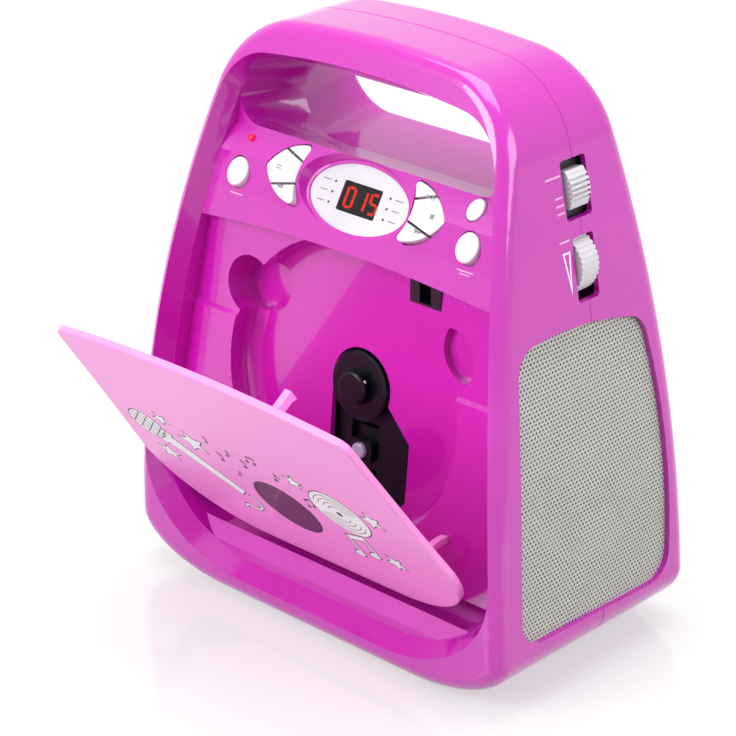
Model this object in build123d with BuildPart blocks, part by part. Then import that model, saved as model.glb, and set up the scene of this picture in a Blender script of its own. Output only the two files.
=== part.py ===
from build123d import *
import math
import os

os.makedirs("parts", exist_ok=True)

# Body: outer size and bow of the sides, front and back, read at the base, mid height and top
body_height = 248.8
foot_height = 1.2
base_half = 104.0
mid_half = 95.65
top_half = 70.6
crown_drop = 5.8
front_base = 63.6
front_mid = 59.2
front_top = 26.7
rear_base = 57.1
rear_mid = 46.6
rear_top = 23.3
corner_width = 49.5
corner_height = 23.4
shoulder_radius = 39.0
front_round = 7.5
rear_round = 7.5
wall = 2.5
seam_bevel = 0.4
overshoot = 12.0

# Rim round the front recess
crest_margin = 5.0
crest_low = 11.0
crest_high = 236.5
crest_corner_width = 56.0
crest_corner_height = 44.0
crest_shoulder = 24.0
rim_slope = 4.6
rim_depth = 9.0
rim_overcut = 3.0

# Shelf the disc well is sunk in, and the trough below it for the foot of the door
deck_lean = 5.5
deck_forward = 45.3
deck_height = 105.0
lip_forward = 50.0
lip_height = 25.4
trough_floor = 21.5
trough_back = 38.0
shelf_low = 40.0
shelf_step = 1.5
shelf_step_height = 120.0
panel_edge_centre = 165.0
panel_edge_side = 160.0
well_radius = 63.0
well_depth = 13.0
well_cove = 7.0
finger_radius = 13.0
finger_depth = 16.5
finger_spread = 55.0
finger_height = 30.0

# Control panel
panel_low = 158.0
panel_low_forward = 45.4
panel_mid_height = 180.0
panel_mid_forward = 41.3
panel_high = 199.8
panel_high_forward = 29.6

# Carry-handle opening: half widths, floor and ceiling at the front, seam and rear sections
handle_front = 36.0
handle_front_low_half = 74.0
handle_front_high_half = 66.0
handle_front_floor = 202.5
handle_front_ceiling = 232.5
handle_front_floor_round = 8.0
handle_seam_half = 62.5
handle_seam_floor = 190.0
handle_seam_ceiling = 229.0
handle_seam_floor_round = 19.5
handle_ceiling_round = 18.0
handle_rear = 42.0
handle_rear_low_half = 68.0
handle_rear_high_half = 62.0
handle_rear_floor = 195.0
handle_rear_ceiling = 235.0
handle_mouth_round = 3.0
mouth_reach = 3.0

# Display dish and keys, on a plane leaning with the control panel
panel_lean = 30.7
panel_plane_forward = 36.0
panel_plane_height = 188.0
dish_half_width = 27.6
dish_half_height = 15.2
dish_depth = 3.4
dish_drop = -1.8
dish_taper = -24.0
panel_bulge = 4.0
bezel_half_width = 26.2
bezel_half_height = 13.9
bezel_face = 4.0
bezel_thickness = 2.5
window_width = 20.4
window_height = 12.5
window_thickness = 0.9
window_round = 0.8
digit_width = 5.0
digit_height = 9.0
digit_stroke = 1.1
digit_pitch = 6.4
digit_thickness = 0.3
digit_gap = 0.25
display_front = 5.7
window_sink = 0.2
window_margin = 0.5
module_width = 34.0
module_height = 16.0
key_tip = 27.0
key_tip_height = 13.1
key_shoulder = 42.0
key_shoulder_height = 8.0
key_reach = 48.5
key_inner = 30.6
key_gap = 0.35
key_tip_round = 2.0
key_cut = 4.8
key_spoke = 1.0
key_fan_centre = 15.1
key_fan_angles = (-14.0, 19.0)
key_fan_radius = 90.0
key_back = 3.5
key_proud = 1.2
key_edge_round = 0.3
round_key_edge = 0.8
stem_radius = 1.5
stem_end = 6.6
round_key_spread = 62.3
round_key_drop = -6.3
round_key_half_width = 5.4
round_key_half_height = 6.2
small_key_spread = 60.6
small_key_rise = 8.3
small_key_half_width = 3.7
small_key_half_height = 4.9
small_key_turn = -25.0
small_key_proud = 2.2
lamp_radius = 1.5
lamp_proud = 3.0
lamp_round = 0.9
board_face = 9.0
board_thickness = 1.6
board_half_width = 68.0
board_low = -12.0
board_high = 11.5
switch_cap_size = 5.0
switch_cap_height = 1.5

# Speaker grille and side-control openings in the side walls, by depth and height
grille_front_top = (-44.0, 148.5)
grille_top_middle = (-2.0, 148.9)
grille_back_top = (31.0, 142.0)
grille_back_middle = (40.8, 90.0)
grille_back_low = (42.3, 25.0)
grille_front_low = (-50.5, 27.8)
grille_front_middle = (-49.0, 85.0)
grille_round = 12.0
grille_lap = 2.0
grille_thickness = 1.0
speaker_height = 88.0
speaker_back = -2.0
speaker_radius = 38.5
cone_radius = 32.0
speaker_depth = 28.0
magnet_radius = 20.0
magnet_depth = 9.0
speaker_inset = 6.0
basket_wall = 1.2
cone_thickness = 0.5
surround_width = 5.0
cap_radius = 9.0
cap_rise = 3.0
cone_depth = 14.0
side_inner = 74.0
side_cut_depth = 5.0
slider_height = 201.5
slider_slot_length = 23.0
slider_slot_width = 15.0
slot_round = 1.5
slider_length = 15.0
slider_width = 11.0
slider_proud = 2.6
slider_back = 4.0
slider_rib = 0.9
slider_rib_pitch = 2.0
selector_front = -6.0
selector_body_depth = 4.0
side_post = (73.0, 164.0)
wheel_height = 170.5
wheel_radius = 13.0
wheel_width = 10.0
wheel_proud = 2.5
wheel_slot_length = 25.5
wheel_slot_width = 12.6
wheel_ribs = 36
wheel_rib_radius = 0.55
pot_shaft_radius = 3.0
pot_gap = 0.8
pot_depth = 6.0
pot_size = 13.0
side_board_corners = ((69.0, 156.0), (82.0, 156.0), (75.5, 212.0), (69.0, 212.0))

# Disc drive, on the shelf plane
opening_round = 16.0
opening_left = -15.5
opening_right_high = 15.4
opening_right_low = 28.0
opening_foot = -58.0
deck_opening_bevel = 5.0
hub_face = 11.0
hub_radius = 15.0
hub_thickness = 2.5
hub_bevel = 0.8
boss_round = 1.6
spindle_hole = 4.0
boss_radius = 7.4
boss_height = 4.7
ball_radius = 1.1
ball_ring = 6.8
ball_angles = (159.0, 35.0, -78.0)
ball_depth = 8.6
ball_spots = [Vector(ball_ring, 0).rotate(Axis.Z, angle) for angle in ball_angles]
spindle_radius = 1.0
running_fit = 0.05
plate_depth = 17.5
plate_thickness = 2.0
plate_left = -34.0
plate_right = 44.0
plate_low = -63.0
plate_high = 18.0
isolator_radius = 4.0
isolator_spots = ((-26.0, -44.0), (36.0, -37.5), (-26.0, 12.0), (36.0, 12.0))
spindle_motor_radius = 13.0
spindle_motor_depth = 8.5
lens_drop = 29.0
lens_radius = 3.5
holder_half = 6.0
holder_half_length = 4.5
holder_gap = 1.5
holder_round = 1.5
holder_slot_length = 42.0
holder_slot_shift = 0.5
holder_top = 15.0
lens_height = 2.0
sled_low = -38.0
sled_high = -20.0
sled_top = 20.5
sled_half = 21.0
sled_bottom = 27.0
rod_spread = 17.0
rod_radius = 1.5
rod_depth = 24.0
rod_low = -62.0
rod_high = -12.0
rod_block = 3.0
gear_module = 0.8
gear_teeth = 24
tooth_foot = 1.2
tooth_head = 0.9
tooth_flank = 20.0
pinion_teeth = 10
rack_pitch_line = 23.4
rack_teeth = 12
rack_shift = 3.5
rack_low = -36.0
rack_high = -5.0
gear_top = 21.0
gear_bottom = 23.5
gear_axle_radius = 1.5
axle_reach = 1.0
tooth_play = 0.35
sled_motor_radius = 9.0
sled_motor_depth = 10.0
sled_motor_gap = 1.5
motor_post_radius = 1.8
motor_post_spread = 6.6
motor_post_rise = 3.0

# Disc door and its hinge; the door stands open by the lean of its plane
hinge_forward = 51.4
hinge_height = 41.9
door_open_lean = -35.9
door_side_margin = 14.0
door_head_margin = 10.4
door_face = 6.4
door_thickness = 3.0
door_foot = -12.5
door_corner_width = 49.0
door_corner_height = 44.0
door_top_side = 118.9
door_top_centre = 126.4
door_top_round = 5.0
door_edge_round = 1.0
door_window_rise = 32.0
door_window_radius = 17.0
door_window_gap = 0.15
window_pane_thickness = 1.6
window_ledge = 2.0
hook_offset = 41.0
hook_rise = 116.6
hook_width = 3.2
hook_height = 4.0
hook_length = 10.5
hook_barb = 1.2
arm_offset = 50.0
arm_width = 5.0
arm_gap = 0.4
barrel_radius = 2.9
pin_radius = 1.25
pin_length = 10.4
lug_width = 2.8
arm_slot_low = 38.4
arm_slot_high = 47.0
arm_slot_depth = 6.0
stay_offset = 61.5
stay_width = 3.0
stay_radius = 20.2
stay_thickness = 3.0
stay_gap = 0.4
stay_start = 76.0
stay_end = 140.0
stay_slot_start = 118.0
stay_slot_end = 158.0
switch_width = 16.0
switch_height = 11.0
switch_centre_height = 158.2
switch_depth = 12.0
switch_front = -39.6
switch_slot_width = 6.0
switch_slot_height = 8.5
switch_slot_centre = 157.9
switch_slot_depth = 5.4
plunger_width = 3.0
plunger_gap = 0.1
plunger_proud = 1.0
plunger_length = 5.0

# Back of the case
post_radius = 4.0
post_spots = ((-79.0, 21.0), (79.0, 21.0), (-80.0, 146.0), (80.0, 146.0), (-45.0, 239.0), (45.0, 239.0))
pilot_radius = 1.5
clearance_radius = 1.8
screw_radius = 1.5
head_radius = 3.0
head_height = 2.0
head_pocket_radius = 3.4
screw_seat = 8.0
screw_reach = 12.0
foot_spots = ((-44.0, -44.0), (44.0, -44.0), (-44.0, 38.0), (44.0, 38.0))
foot_radius = 7.0
foot_sink = 0.8
jack_panel_depth = 45.0
jack_panels = ((12.0, 84.0), (-82.0, -48.0))
jack_panel_height = 24.0
jack_panel_round = 3.0
jack_row = 78.0
microphone_spots = (24.0, 42.0)
microphone_bore = 3.25
microphone_collar = 5.5
audio_spot = 57.0
audio_bore = 1.8
audio_collar = 3.6
jack_body_depth = 16.0
data_spot = 73.0
data_width = 13.2
data_height = 5.8
data_shell = 0.4
data_tongue = 1.8
data_tongue_rise = 0.9
data_depth = 14.0
mains_spot = -65.0
mains_width = 20.0
mains_height = 12.0
mains_wall = 1.8
mains_depth = 14.0
mains_pin_radius = 1.2
mains_pin_spread = 4.3
bay_left = -20.0
bay_right = 70.0
bay_low = 14.5
bay_high = 50.5
bay_back = 20.0
bay_wall = 1.6
battery_gap = 0.4
battery_thickness = 2.2
battery_hinge_depth = 55.5
battery_barrel = 1.25
battery_pin = 0.9
battery_pin_length = 1.8
cell_spot = (36.0, 32.0)
spring_radius = 6.0
spring_length = 5.0
spring_taper = 20.0
main_board_depth = 22.0
main_board_half = 52.0
main_board_low = 100.0
main_board_high = 176.0
main_board_spots = ((-44.0, 108.0), (44.0, 108.0), (-44.0, 168.0), (44.0, 168.0))
transformer_left = -53.0
transformer_width = 28.0
transformer_depth = 30.0
transformer_height = 36.0
transformer_front = 6.0
coil_overhang = 4.0
coil_width = 4.6
coil_height = 18.0
chip_spot = (12.0, 140.0)
chip_size = 18.0
capacitor_spots = ((-30.0, 124.0), (-30.0, 148.0))
capacitor_radius = 6.0
component_height = 8.0
pilot_gap = 0.5

# Sizes that follow from the ones above
tooth_pitch = math.pi * gear_module
rack_root = rack_pitch_line - tooth_foot * gear_module
gear_centre = rack_pitch_line + gear_module * gear_teeth / 2
pinion_height = -lens_drop + gear_module * (gear_teeth + pinion_teeth) / 2
tooth_half = (tooth_pitch / 2 - tooth_play) / 2
flank_run = math.tan(math.radians(tooth_flank)) * gear_module
tooth_points = (
    (-tooth_play, -tooth_half - tooth_foot * flank_run),
    (gear_module * (tooth_foot + tooth_head), tooth_head * flank_run - tooth_half),
    (gear_module * (tooth_foot + tooth_head), tooth_half - tooth_head * flank_run),
    (-tooth_play, tooth_half + tooth_foot * flank_run),
)
sled_motor_face = gear_bottom + sled_motor_gap
side_board_face = wheel_width / 2 + pot_gap + pot_depth
sled_motor_posts = (
    (gear_centre - motor_post_spread, pinion_height + motor_post_rise),
    (gear_centre + motor_post_spread, pinion_height + motor_post_rise),
)
transformer_spot = (transformer_left + transformer_width / 2, foot_height + wall + transformer_height / 2)
digits_shown = (
    (True, True, True, False, True, True, True),
    (False, False, True, False, False, True, False),
    (True, True, False, True, False, True, True),
)


def bowed(base, middle, top, height):
    part_way = height / body_height
    return (
        base * (1 - part_way) * (1 - 2 * part_way)
        + 4 * middle * part_way * (1 - part_way)
        + top * part_way * (2 * part_way - 1)
    )


def half_at(height):
    return bowed(base_half, mid_half, top_half, height)


def front_at(height):
    return -bowed(front_base, front_mid, front_top, height)


def rear_at(height):
    return bowed(rear_base, rear_mid, rear_top, height)


def deck_at(height):
    return -deck_forward + (height - deck_height) * math.tan(math.radians(deck_lean))


def leaning_plane(forward, height, lean):
    tilt = math.radians(lean)
    return Plane((0, -forward, height), x_dir=(1, 0, 0), z_dir=(0, -math.cos(tilt), math.sin(tilt)))


def outline(side, low, high, width, height, shoulder):
    """Front-view outline, set in from the body side by `side`, between heights low and high."""
    knee = low + height
    shoulder_height = high - crown_drop * ((half_at(high) - side) / top_half) ** 2
    middle = (knee + shoulder_height) / 2
    foot = half_at(knee) - side
    corner = (half_at(shoulder_height) - side, shoulder_height)
    with BuildSketch(Plane.XZ) as shape:
        with BuildLine():
            Line((width - foot, low), (foot - width, low))
            EllipticalCenterArc((foot - width, knee), width, height, start_angle=270, arc_size=90)
            ThreePointArc((foot, knee), (half_at(middle) - side, middle), corner)
            ThreePointArc(corner, (0, high), (-corner[0], corner[1]))
            ThreePointArc((-corner[0], corner[1]), (side - half_at(middle), middle), (-foot, knee))
            EllipticalCenterArc((width - foot, knee), width, height, start_angle=180, arc_size=90)
        make_face()
        fillet(shape.vertices().sort_by(Axis.Y)[-2:], shoulder)
    return shape.sketch


def body_outline(inset):
    return outline(
        inset,
        foot_height + inset,
        body_height - inset,
        corner_width - inset,
        corner_height - inset,
        shoulder_radius - inset,
    )


def recess_outline(grow, high, shoulder):
    return outline(
        crest_margin + rim_slope - grow,
        crest_low + rim_slope - grow,
        high + grow,
        crest_corner_width - rim_slope + grow,
        crest_corner_height - rim_slope + grow,
        shoulder + grow,
    )


def side_profile(surface, inset):
    """Side-view area between the seam plane and the front or rear surface."""
    low = -overshoot
    high = body_height + overshoot
    middle = body_height / 2
    with BuildSketch(Plane.YZ) as shape:
        with BuildLine():
            Polyline((surface(low) + inset, low), (0, low), (0, high), (surface(high) + inset, high))
            ThreePointArc(
                (surface(high) + inset, high),
                (surface(middle) + inset, middle),
                (surface(low) + inset, low),
            )
        make_face()
    return shape.sketch


def handle_section(y, low_half, high_half, floor, ceiling, floor_round, grow):
    with BuildSketch(Plane.XZ.offset(-y)) as shape:
        Polygon(
            (-low_half - grow, floor - grow),
            (low_half + grow, floor - grow),
            (high_half + grow, ceiling + grow),
            (-high_half - grow, ceiling + grow),
        )
        fillet(shape.vertices().sort_by(Axis.Y)[:2], floor_round + grow)
        fillet(shape.vertices().sort_by(Axis.Y)[-2:], handle_ceiling_round + grow)
    return shape.sketch


def handle_seam_section(grow):
    return handle_section(
        0,
        handle_seam_half,
        handle_seam_half,
        handle_seam_floor,
        handle_seam_ceiling,
        handle_seam_floor_round,
        grow,
    )


def front_handle_section(grow):
    return handle_section(
        -handle_front,
        handle_front_low_half,
        handle_front_high_half,
        handle_front_floor,
        handle_front_ceiling,
        handle_front_floor_round,
        grow,
    )


def rear_handle_section(grow):
    return handle_section(
        handle_rear,
        handle_rear_low_half,
        handle_rear_high_half,
        handle_rear_floor,
        handle_rear_ceiling,
        handle_seam_floor_round,
        grow,
    )


deck_plane = leaning_plane(deck_forward, deck_height, deck_lean)
panel_plane = leaning_plane(panel_plane_forward, panel_plane_height, panel_lean)
hinge_plane = leaning_plane(hinge_forward, hinge_height, door_open_lean)
deep = front_base + overshoot
wide = base_half + overshoot


def shelf_profile(grow):
    top = panel_edge_centre + overshoot
    with BuildSketch(Plane.YZ) as shape:
        Polygon(
            (-deep, crest_low),
            (front_at(crest_low), crest_low),
            (-lip_forward, lip_height),
            (-lip_forward + lip_height - trough_floor, trough_floor),
            (-trough_back, trough_floor),
            (-trough_back, shelf_low),
            (deck_at(shelf_low), shelf_low),
            (deck_at(shelf_step_height), shelf_step_height),
            (deck_at(shelf_step_height) + shelf_step, shelf_step_height + shelf_step),
            (deck_at(top) + shelf_step, top),
            (-deep, top),
        )
        offset(amount=grow, kind=Kind.INTERSECTION)
    return shape.sketch


def panel_profile(grow):
    top = body_height + overshoot
    with BuildSketch(Plane.YZ) as shape:
        with BuildLine():
            Polyline((-panel_high_forward, panel_high), (-panel_high_forward, top), (-deep, top))
            Polyline((-deep, top), (-deep, panel_low), (-panel_low_forward, panel_low))
            ThreePointArc(
                (-panel_low_forward, panel_low),
                (-panel_mid_forward, panel_mid_height),
                (-panel_high_forward, panel_high),
            )
        make_face()
        offset(amount=grow, kind=Kind.INTERSECTION)
    return shape.sketch


def panel_edge(grow):
    """Front-view area below the arched lower edge of the control panel."""
    with BuildSketch(Plane.XZ) as shape:
        with BuildLine():
            Polyline(
                (wide, panel_edge_side - overshoot),
                (wide, 0),
                (-wide, 0),
                (-wide, panel_edge_side - overshoot),
                (-half_at(panel_edge_side), panel_edge_side + grow),
            )
            ThreePointArc(
                (-half_at(panel_edge_side), panel_edge_side + grow),
                (0, panel_edge_centre + grow),
                (half_at(panel_edge_side), panel_edge_side + grow),
            )
            Line((half_at(panel_edge_side), panel_edge_side + grow), (wide, panel_edge_side - overshoot))
        make_face()
    return shape.sketch


def recess(grow):
    """Space in front of the shelf and the control panel, grown outwards by `grow`."""
    high = crest_high - rim_slope
    shoulder = crest_shoulder - rim_slope
    with BuildPart() as lower:
        extrude(recess_outline(grow, high, shoulder), amount=deep)
        extrude(shelf_profile(grow), amount=wide, both=True, mode=Mode.INTERSECT)
        extrude(panel_edge(grow), amount=deep, mode=Mode.INTERSECT)
    with BuildPart() as upper:
        extrude(recess_outline(grow, high, shoulder), amount=deep)
        extrude(panel_profile(grow), amount=wide, both=True, mode=Mode.INTERSECT)
    with BuildPart() as tunnel:
        loft([front_handle_section(grow), handle_seam_section(grow)], ruled=True)
    with BuildPart() as well:
        with BuildSketch(deck_plane):
            Circle(well_radius + grow)
        extrude(amount=-well_depth - grow)
        fillet(well.faces().sort_by(Axis.Y)[-1].edges(), well_cove + grow)
        with BuildSketch(deck_plane):
            with Locations((finger_spread, finger_height), (-finger_spread, finger_height)):
                Circle(finger_radius + grow)
        extrude(amount=-finger_depth - grow)
    with BuildPart() as dish:
        with BuildSketch(panel_plane.offset(-dish_depth - grow)):
            with Locations((0, dish_drop)):
                Ellipse(dish_half_width + grow, dish_half_height + grow)
        extrude(amount=dish_depth + grow + panel_bulge, taper=dish_taper)
    return [lower.part, upper.part, tunnel.part, well.part, dish.part]


def grille_area(grow):
    with BuildSketch(Plane.YZ) as shape:
        with BuildLine():
            ThreePointArc(grille_front_top, grille_front_middle, grille_front_low)
            Line(grille_front_low, grille_back_low)
            ThreePointArc(grille_back_low, grille_back_middle, grille_back_top)
            ThreePointArc(grille_back_top, grille_top_middle, grille_front_top)
        make_face()
        fillet(shape.vertices(), grille_round)
        offset(amount=grow)
    return shape.sketch


def side_slots():
    """Openings for the slider knob and the thumb wheel, seen from the right."""
    with BuildSketch(Plane.YZ.offset(side_inner)) as shape:
        with Locations((0, slider_height)):
            Rectangle(slider_slot_width, slider_slot_length)
        with Locations((0, wheel_height)):
            Rectangle(wheel_slot_width, wheel_slot_length)
        fillet(shape.vertices(), slot_round)
    return shape.sketch


def key_leaf(plane, side, inset):
    """Leaf-shaped field for three keys, on a plane parallel to the control panel."""
    tip = (key_tip + inset) * side
    tip_height = key_tip_height - 2 * inset
    shoulder = (key_shoulder - inset / 2) * side
    shoulder_height = key_shoulder_height - inset
    reach = (key_reach - inset) * side
    with BuildSketch(plane) as shape:
        with BuildLine():
            ThreePointArc((tip, tip_height), (shoulder, shoulder_height), (reach, 0))
            ThreePointArc((reach, 0), (shoulder, -shoulder_height), (tip, -tip_height))
            ThreePointArc((tip, -tip_height), ((key_inner + inset) * side, 0), (tip, tip_height))
        make_face()
        fillet(shape.vertices(), key_tip_round - inset)
    return shape.sketch


def board_posts(spots, radius, start, end):
    """Posts along the depth axis between two depths."""
    with BuildPart() as posts:
        with BuildSketch(Plane.XZ.offset(-start)):
            with Locations(*spots):
                Circle(radius)
        extrude(amount=start - end)
    return posts.part


def at_case_screws(radius, start, end):
    return board_posts(post_spots, radius, start, end)


def battery_area(grow):
    """Rear-view area of the battery door."""
    with BuildSketch(Plane.XZ.offset(-bay_back)) as shape:
        with Locations(((bay_left + bay_right) / 2, (bay_low + bay_high) / 2)):
            Rectangle(bay_right - bay_left + 2 * grow, bay_high - bay_low + 2 * grow)
    return shape.sketch


def hinge_section(across):
    """Plane across the door hinge: out of the door's face, and up along the door."""
    origin = hinge_plane.origin + Vector(across, 0, 0)
    return Plane(origin, x_dir=hinge_plane.z_dir, z_dir=(-1, 0, 0))


def stay_section(across, start, end, grow):
    """Band round the hinge axis, between two angles from the door's outward direction."""
    reach = stay_thickness / 2 + grow
    with BuildSketch(hinge_section(across)) as shape:
        with BuildLine():
            outer = CenterArc((0, 0), stay_radius + reach, start, end - start)
            inner = CenterArc((0, 0), stay_radius - reach, start, end - start)
            Line(outer @ 0, inner @ 0)
            Line(outer @ 1, inner @ 1)
        make_face()
    return shape.sketch


def rod_section(along):
    """Plane across the sled rods: to the right, and into the case."""
    origin = deck_plane.origin + deck_plane.y_dir * along
    return Plane(origin, x_dir=(1, 0, 0), z_dir=deck_plane.y_dir)


def around_rear_mouth(edge):
    """Edges where the handle opening leaves the rear surface."""
    spot = edge.center()
    on_surface = abs(spot.Y - rear_at(spot.Z)) < mouth_reach
    inside = handle_rear_floor - mouth_reach < spot.Z < handle_rear_ceiling + mouth_reach
    return on_surface and inside and abs(spot.X) < handle_rear_low_half + mouth_reach


deck_opening_points = (
    (opening_left, 0),
    (opening_left, opening_foot + deck_opening_bevel),
    (opening_left + deck_opening_bevel, opening_foot),
    (opening_right_low - 3 * deck_opening_bevel, opening_foot),
    (opening_right_low, opening_foot + 3 * deck_opening_bevel),
    (opening_right_low, opening_right_high - opening_right_low - deck_opening_bevel),
    (opening_right_high, -deck_opening_bevel),
    (opening_right_high, 0),
)

# Front shell

with BuildPart() as side_cut:
    extrude(grille_area(0), amount=wide, both=True)
    extrude(body_outline(side_cut_depth), amount=deep, both=True, mode=Mode.SUBTRACT)
    extrude(side_slots(), amount=wide)

with BuildPart() as mouth:
    flare = rim_slope * rim_overcut / rim_depth
    extrude(
        outline(
            crest_margin - flare,
            crest_low - flare,
            crest_high + flare,
            crest_corner_width + flare,
            crest_corner_height + flare,
            crest_shoulder + flare,
        ),
        amount=deep,
    )
    extrude(side_profile(front_at, rim_depth), amount=wide, both=True, mode=Mode.SUBTRACT)
    mouth_floor = mouth.faces().filter_by(GeomType.PLANE, reverse=True).sort_by(SortBy.AREA)[-1]
    chamfer(mouth_floor.edges(), rim_slope + flare, rim_depth + rim_overcut, reference=mouth_floor)

with BuildPart() as lugs:
    for side in (-1, 1):
        for reach in (-1, 1):
            middle = side * arm_offset + reach * (arm_width / 2 + arm_gap + lug_width / 2)
            with BuildSketch(Plane.YZ.offset(middle)):
                with Locations((-hinge_forward, hinge_height)):
                    Circle(barrel_radius)
            extrude(amount=lug_width / 2, both=True)

with BuildPart() as front_cavity:
    extrude(body_outline(wall), amount=deep)
    extrude(side_profile(front_at, rim_depth + wall), amount=wide, both=True, mode=Mode.INTERSECT)
    for space in recess(wall):
        add(space, mode=Mode.SUBTRACT)
    add(at_case_screws(post_radius, 0, -deep), mode=Mode.SUBTRACT)

with BuildPart() as front_shell:
    extrude(body_outline(0), amount=deep)
    extrude(side_profile(front_at, 0), amount=wide, both=True, mode=Mode.INTERSECT)
    fillet(front_shell.faces().sort_by(Axis.Y)[0].edges(), front_round)
    chamfer(front_shell.faces().sort_by(Axis.Y)[-1].edges(), seam_bevel)
    add(mouth.part, mode=Mode.SUBTRACT)
    for space in recess(0):
        add(space, mode=Mode.SUBTRACT)
    add(front_cavity.part, mode=Mode.SUBTRACT)
    add(lugs.part)
    with BuildSketch(deck_plane.offset(-plate_depth)):
        Circle(opening_round)
        Polygon(*deck_opening_points)
    extrude(amount=plate_depth, mode=Mode.SUBTRACT)
    # key, lamp and display openings through the control panel
    with BuildSketch(panel_plane.offset(-key_cut)):
        with Locations((round_key_spread, round_key_drop), (-round_key_spread, round_key_drop)):
            Ellipse(round_key_half_width + key_gap, round_key_half_height + key_gap)
        with Locations(Location((small_key_spread, small_key_rise), small_key_turn)):
            Ellipse(small_key_half_width + key_gap, small_key_half_height + key_gap)
        with Locations((-small_key_spread, small_key_rise)):
            Circle(lamp_radius)
    extrude(amount=key_cut + panel_bulge, mode=Mode.SUBTRACT)
    for side in (-1, 1):
        leaf = key_leaf(panel_plane.offset(-key_cut), side, 0)
        extrude(leaf, amount=key_cut + panel_bulge, mode=Mode.SUBTRACT)
    with BuildSketch(panel_plane.offset(-board_face)):
        with Locations((0, dish_drop)):
            Ellipse(bezel_half_width, bezel_half_height)
    extrude(amount=board_face, mode=Mode.SUBTRACT)
    # catch pocket beside the well, and slots for the door's hinge arms and curved stays
    with BuildSketch(Plane.XZ.offset(-switch_front)):
        with Locations((hook_offset, switch_centre_height)):
            Rectangle(switch_width, switch_height)
    extrude(amount=-switch_depth, mode=Mode.SUBTRACT)
    for side in (-1, 1):
        with BuildSketch(Plane.YZ.offset(side * arm_offset)):
            with Locations((-hinge_forward, (arm_slot_low + arm_slot_high) / 2)):
                Rectangle(2 * arm_slot_depth, arm_slot_high - arm_slot_low)
        extrude(amount=arm_width / 2 + arm_gap, both=True, mode=Mode.SUBTRACT)
        with BuildSketch(Plane.YZ.offset(side * arm_offset)):
            with Locations((-hinge_forward, hinge_height)):
                Circle(pin_radius)
        extrude(amount=pin_length / 2, both=True, mode=Mode.SUBTRACT)
        slot = stay_section(side * stay_offset, stay_slot_start, stay_slot_end, stay_gap)
        extrude(slot, amount=stay_width / 2 + stay_gap, both=True, mode=Mode.SUBTRACT)
    add(at_case_screws(pilot_radius, 0, -screw_reach), mode=Mode.SUBTRACT)
    add(side_cut.part, mode=Mode.SUBTRACT)
    with BuildSketch(Plane.XY.offset(foot_height)):
        with Locations(*foot_spots[:2]):
            Circle(foot_radius)
    extrude(amount=foot_sink, mode=Mode.SUBTRACT)

# Rear shell

with BuildPart() as rear_cavity:
    extrude(body_outline(wall), amount=-deep)
    extrude(side_profile(rear_at, -wall), amount=wide, both=True, mode=Mode.INTERSECT)
    fillet(rear_cavity.faces().sort_by(Axis.Y)[-1].edges(), rear_round - wall)
    loft([handle_seam_section(wall), rear_handle_section(wall)], ruled=True, mode=Mode.SUBTRACT)
    add(at_case_screws(post_radius, 0, deep), mode=Mode.SUBTRACT)
    add(board_posts(main_board_spots, post_radius, main_board_depth, deep), mode=Mode.SUBTRACT)
    add(board_posts((side_post,), post_radius, side_board_face + board_thickness, deep), mode=Mode.SUBTRACT)
    with BuildSketch(Plane.XZ.offset(wall - jack_panel_depth)):
        for left, right in jack_panels:
            with Locations(((left + right) / 2, jack_row)):
                Rectangle(right - left + 2 * wall, jack_panel_height + 2 * wall)
    extrude(amount=-deep, mode=Mode.SUBTRACT)

with BuildPart() as rear_shell:
    extrude(body_outline(0), amount=-deep)
    extrude(side_profile(rear_at, 0), amount=wide, both=True, mode=Mode.INTERSECT)
    fillet(rear_shell.faces().sort_by(Axis.Y)[-1].edges(), rear_round)
    chamfer(rear_shell.faces().sort_by(Axis.Y)[0].edges(), seam_bevel)
    loft([handle_seam_section(0), rear_handle_section(0)], ruled=True, mode=Mode.SUBTRACT)
    fillet(rear_shell.edges().filter_by(around_rear_mouth), handle_mouth_round)
    add(rear_cavity.part, mode=Mode.SUBTRACT)
    with BuildSketch(Plane.XZ.offset(-jack_panel_depth)):
        for left, right in jack_panels:
            with Locations(((left + right) / 2, jack_row)):
                RectangleRounded(right - left, jack_panel_height, jack_panel_round)
    extrude(amount=-deep, mode=Mode.SUBTRACT)
    # holes for the jacks, the data socket and the mains inlet
    with BuildSketch(Plane.XZ.offset(-jack_panel_depth)):
        with Locations(*((spot, jack_row) for spot in microphone_spots)):
            Circle(microphone_collar)
        with Locations((audio_spot, jack_row)):
            Circle(audio_collar)
        with Locations((data_spot, jack_row)):
            Rectangle(data_width, data_height)
        with Locations((mains_spot, jack_row)):
            SlotOverall(mains_width, mains_height)
    extrude(amount=wall, mode=Mode.SUBTRACT)
    # case screws: clearance hole to the seam and a pocket for the head
    add(at_case_screws(clearance_radius, 0, screw_seat), mode=Mode.SUBTRACT)
    add(at_case_screws(head_pocket_radius, screw_seat, deep), mode=Mode.SUBTRACT)
    # battery opening
    extrude(battery_area(battery_gap), amount=-deep, mode=Mode.SUBTRACT)
    with BuildSketch(Plane.YZ.offset((bay_left + bay_right) / 2)):
        with Locations((battery_hinge_depth, bay_low)):
            Circle(battery_pin + running_fit)
    extrude(amount=(bay_right - bay_left) / 2 + battery_pin_length, both=True, mode=Mode.SUBTRACT)
    with BuildSketch(Plane.YZ.offset((bay_left + bay_right) / 2)):
        with Locations((battery_hinge_depth, bay_low)):
            Circle(battery_barrel + battery_gap)
    extrude(amount=(bay_right - bay_left) / 2 + battery_gap, both=True, mode=Mode.SUBTRACT)
    add(side_cut.part, mode=Mode.SUBTRACT)
    with BuildSketch(Plane.XY.offset(foot_height)):
        with Locations(*foot_spots[2:]):
            Circle(foot_radius)
    extrude(amount=foot_sink, mode=Mode.SUBTRACT)

# Grilles, speakers and side controls


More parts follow.
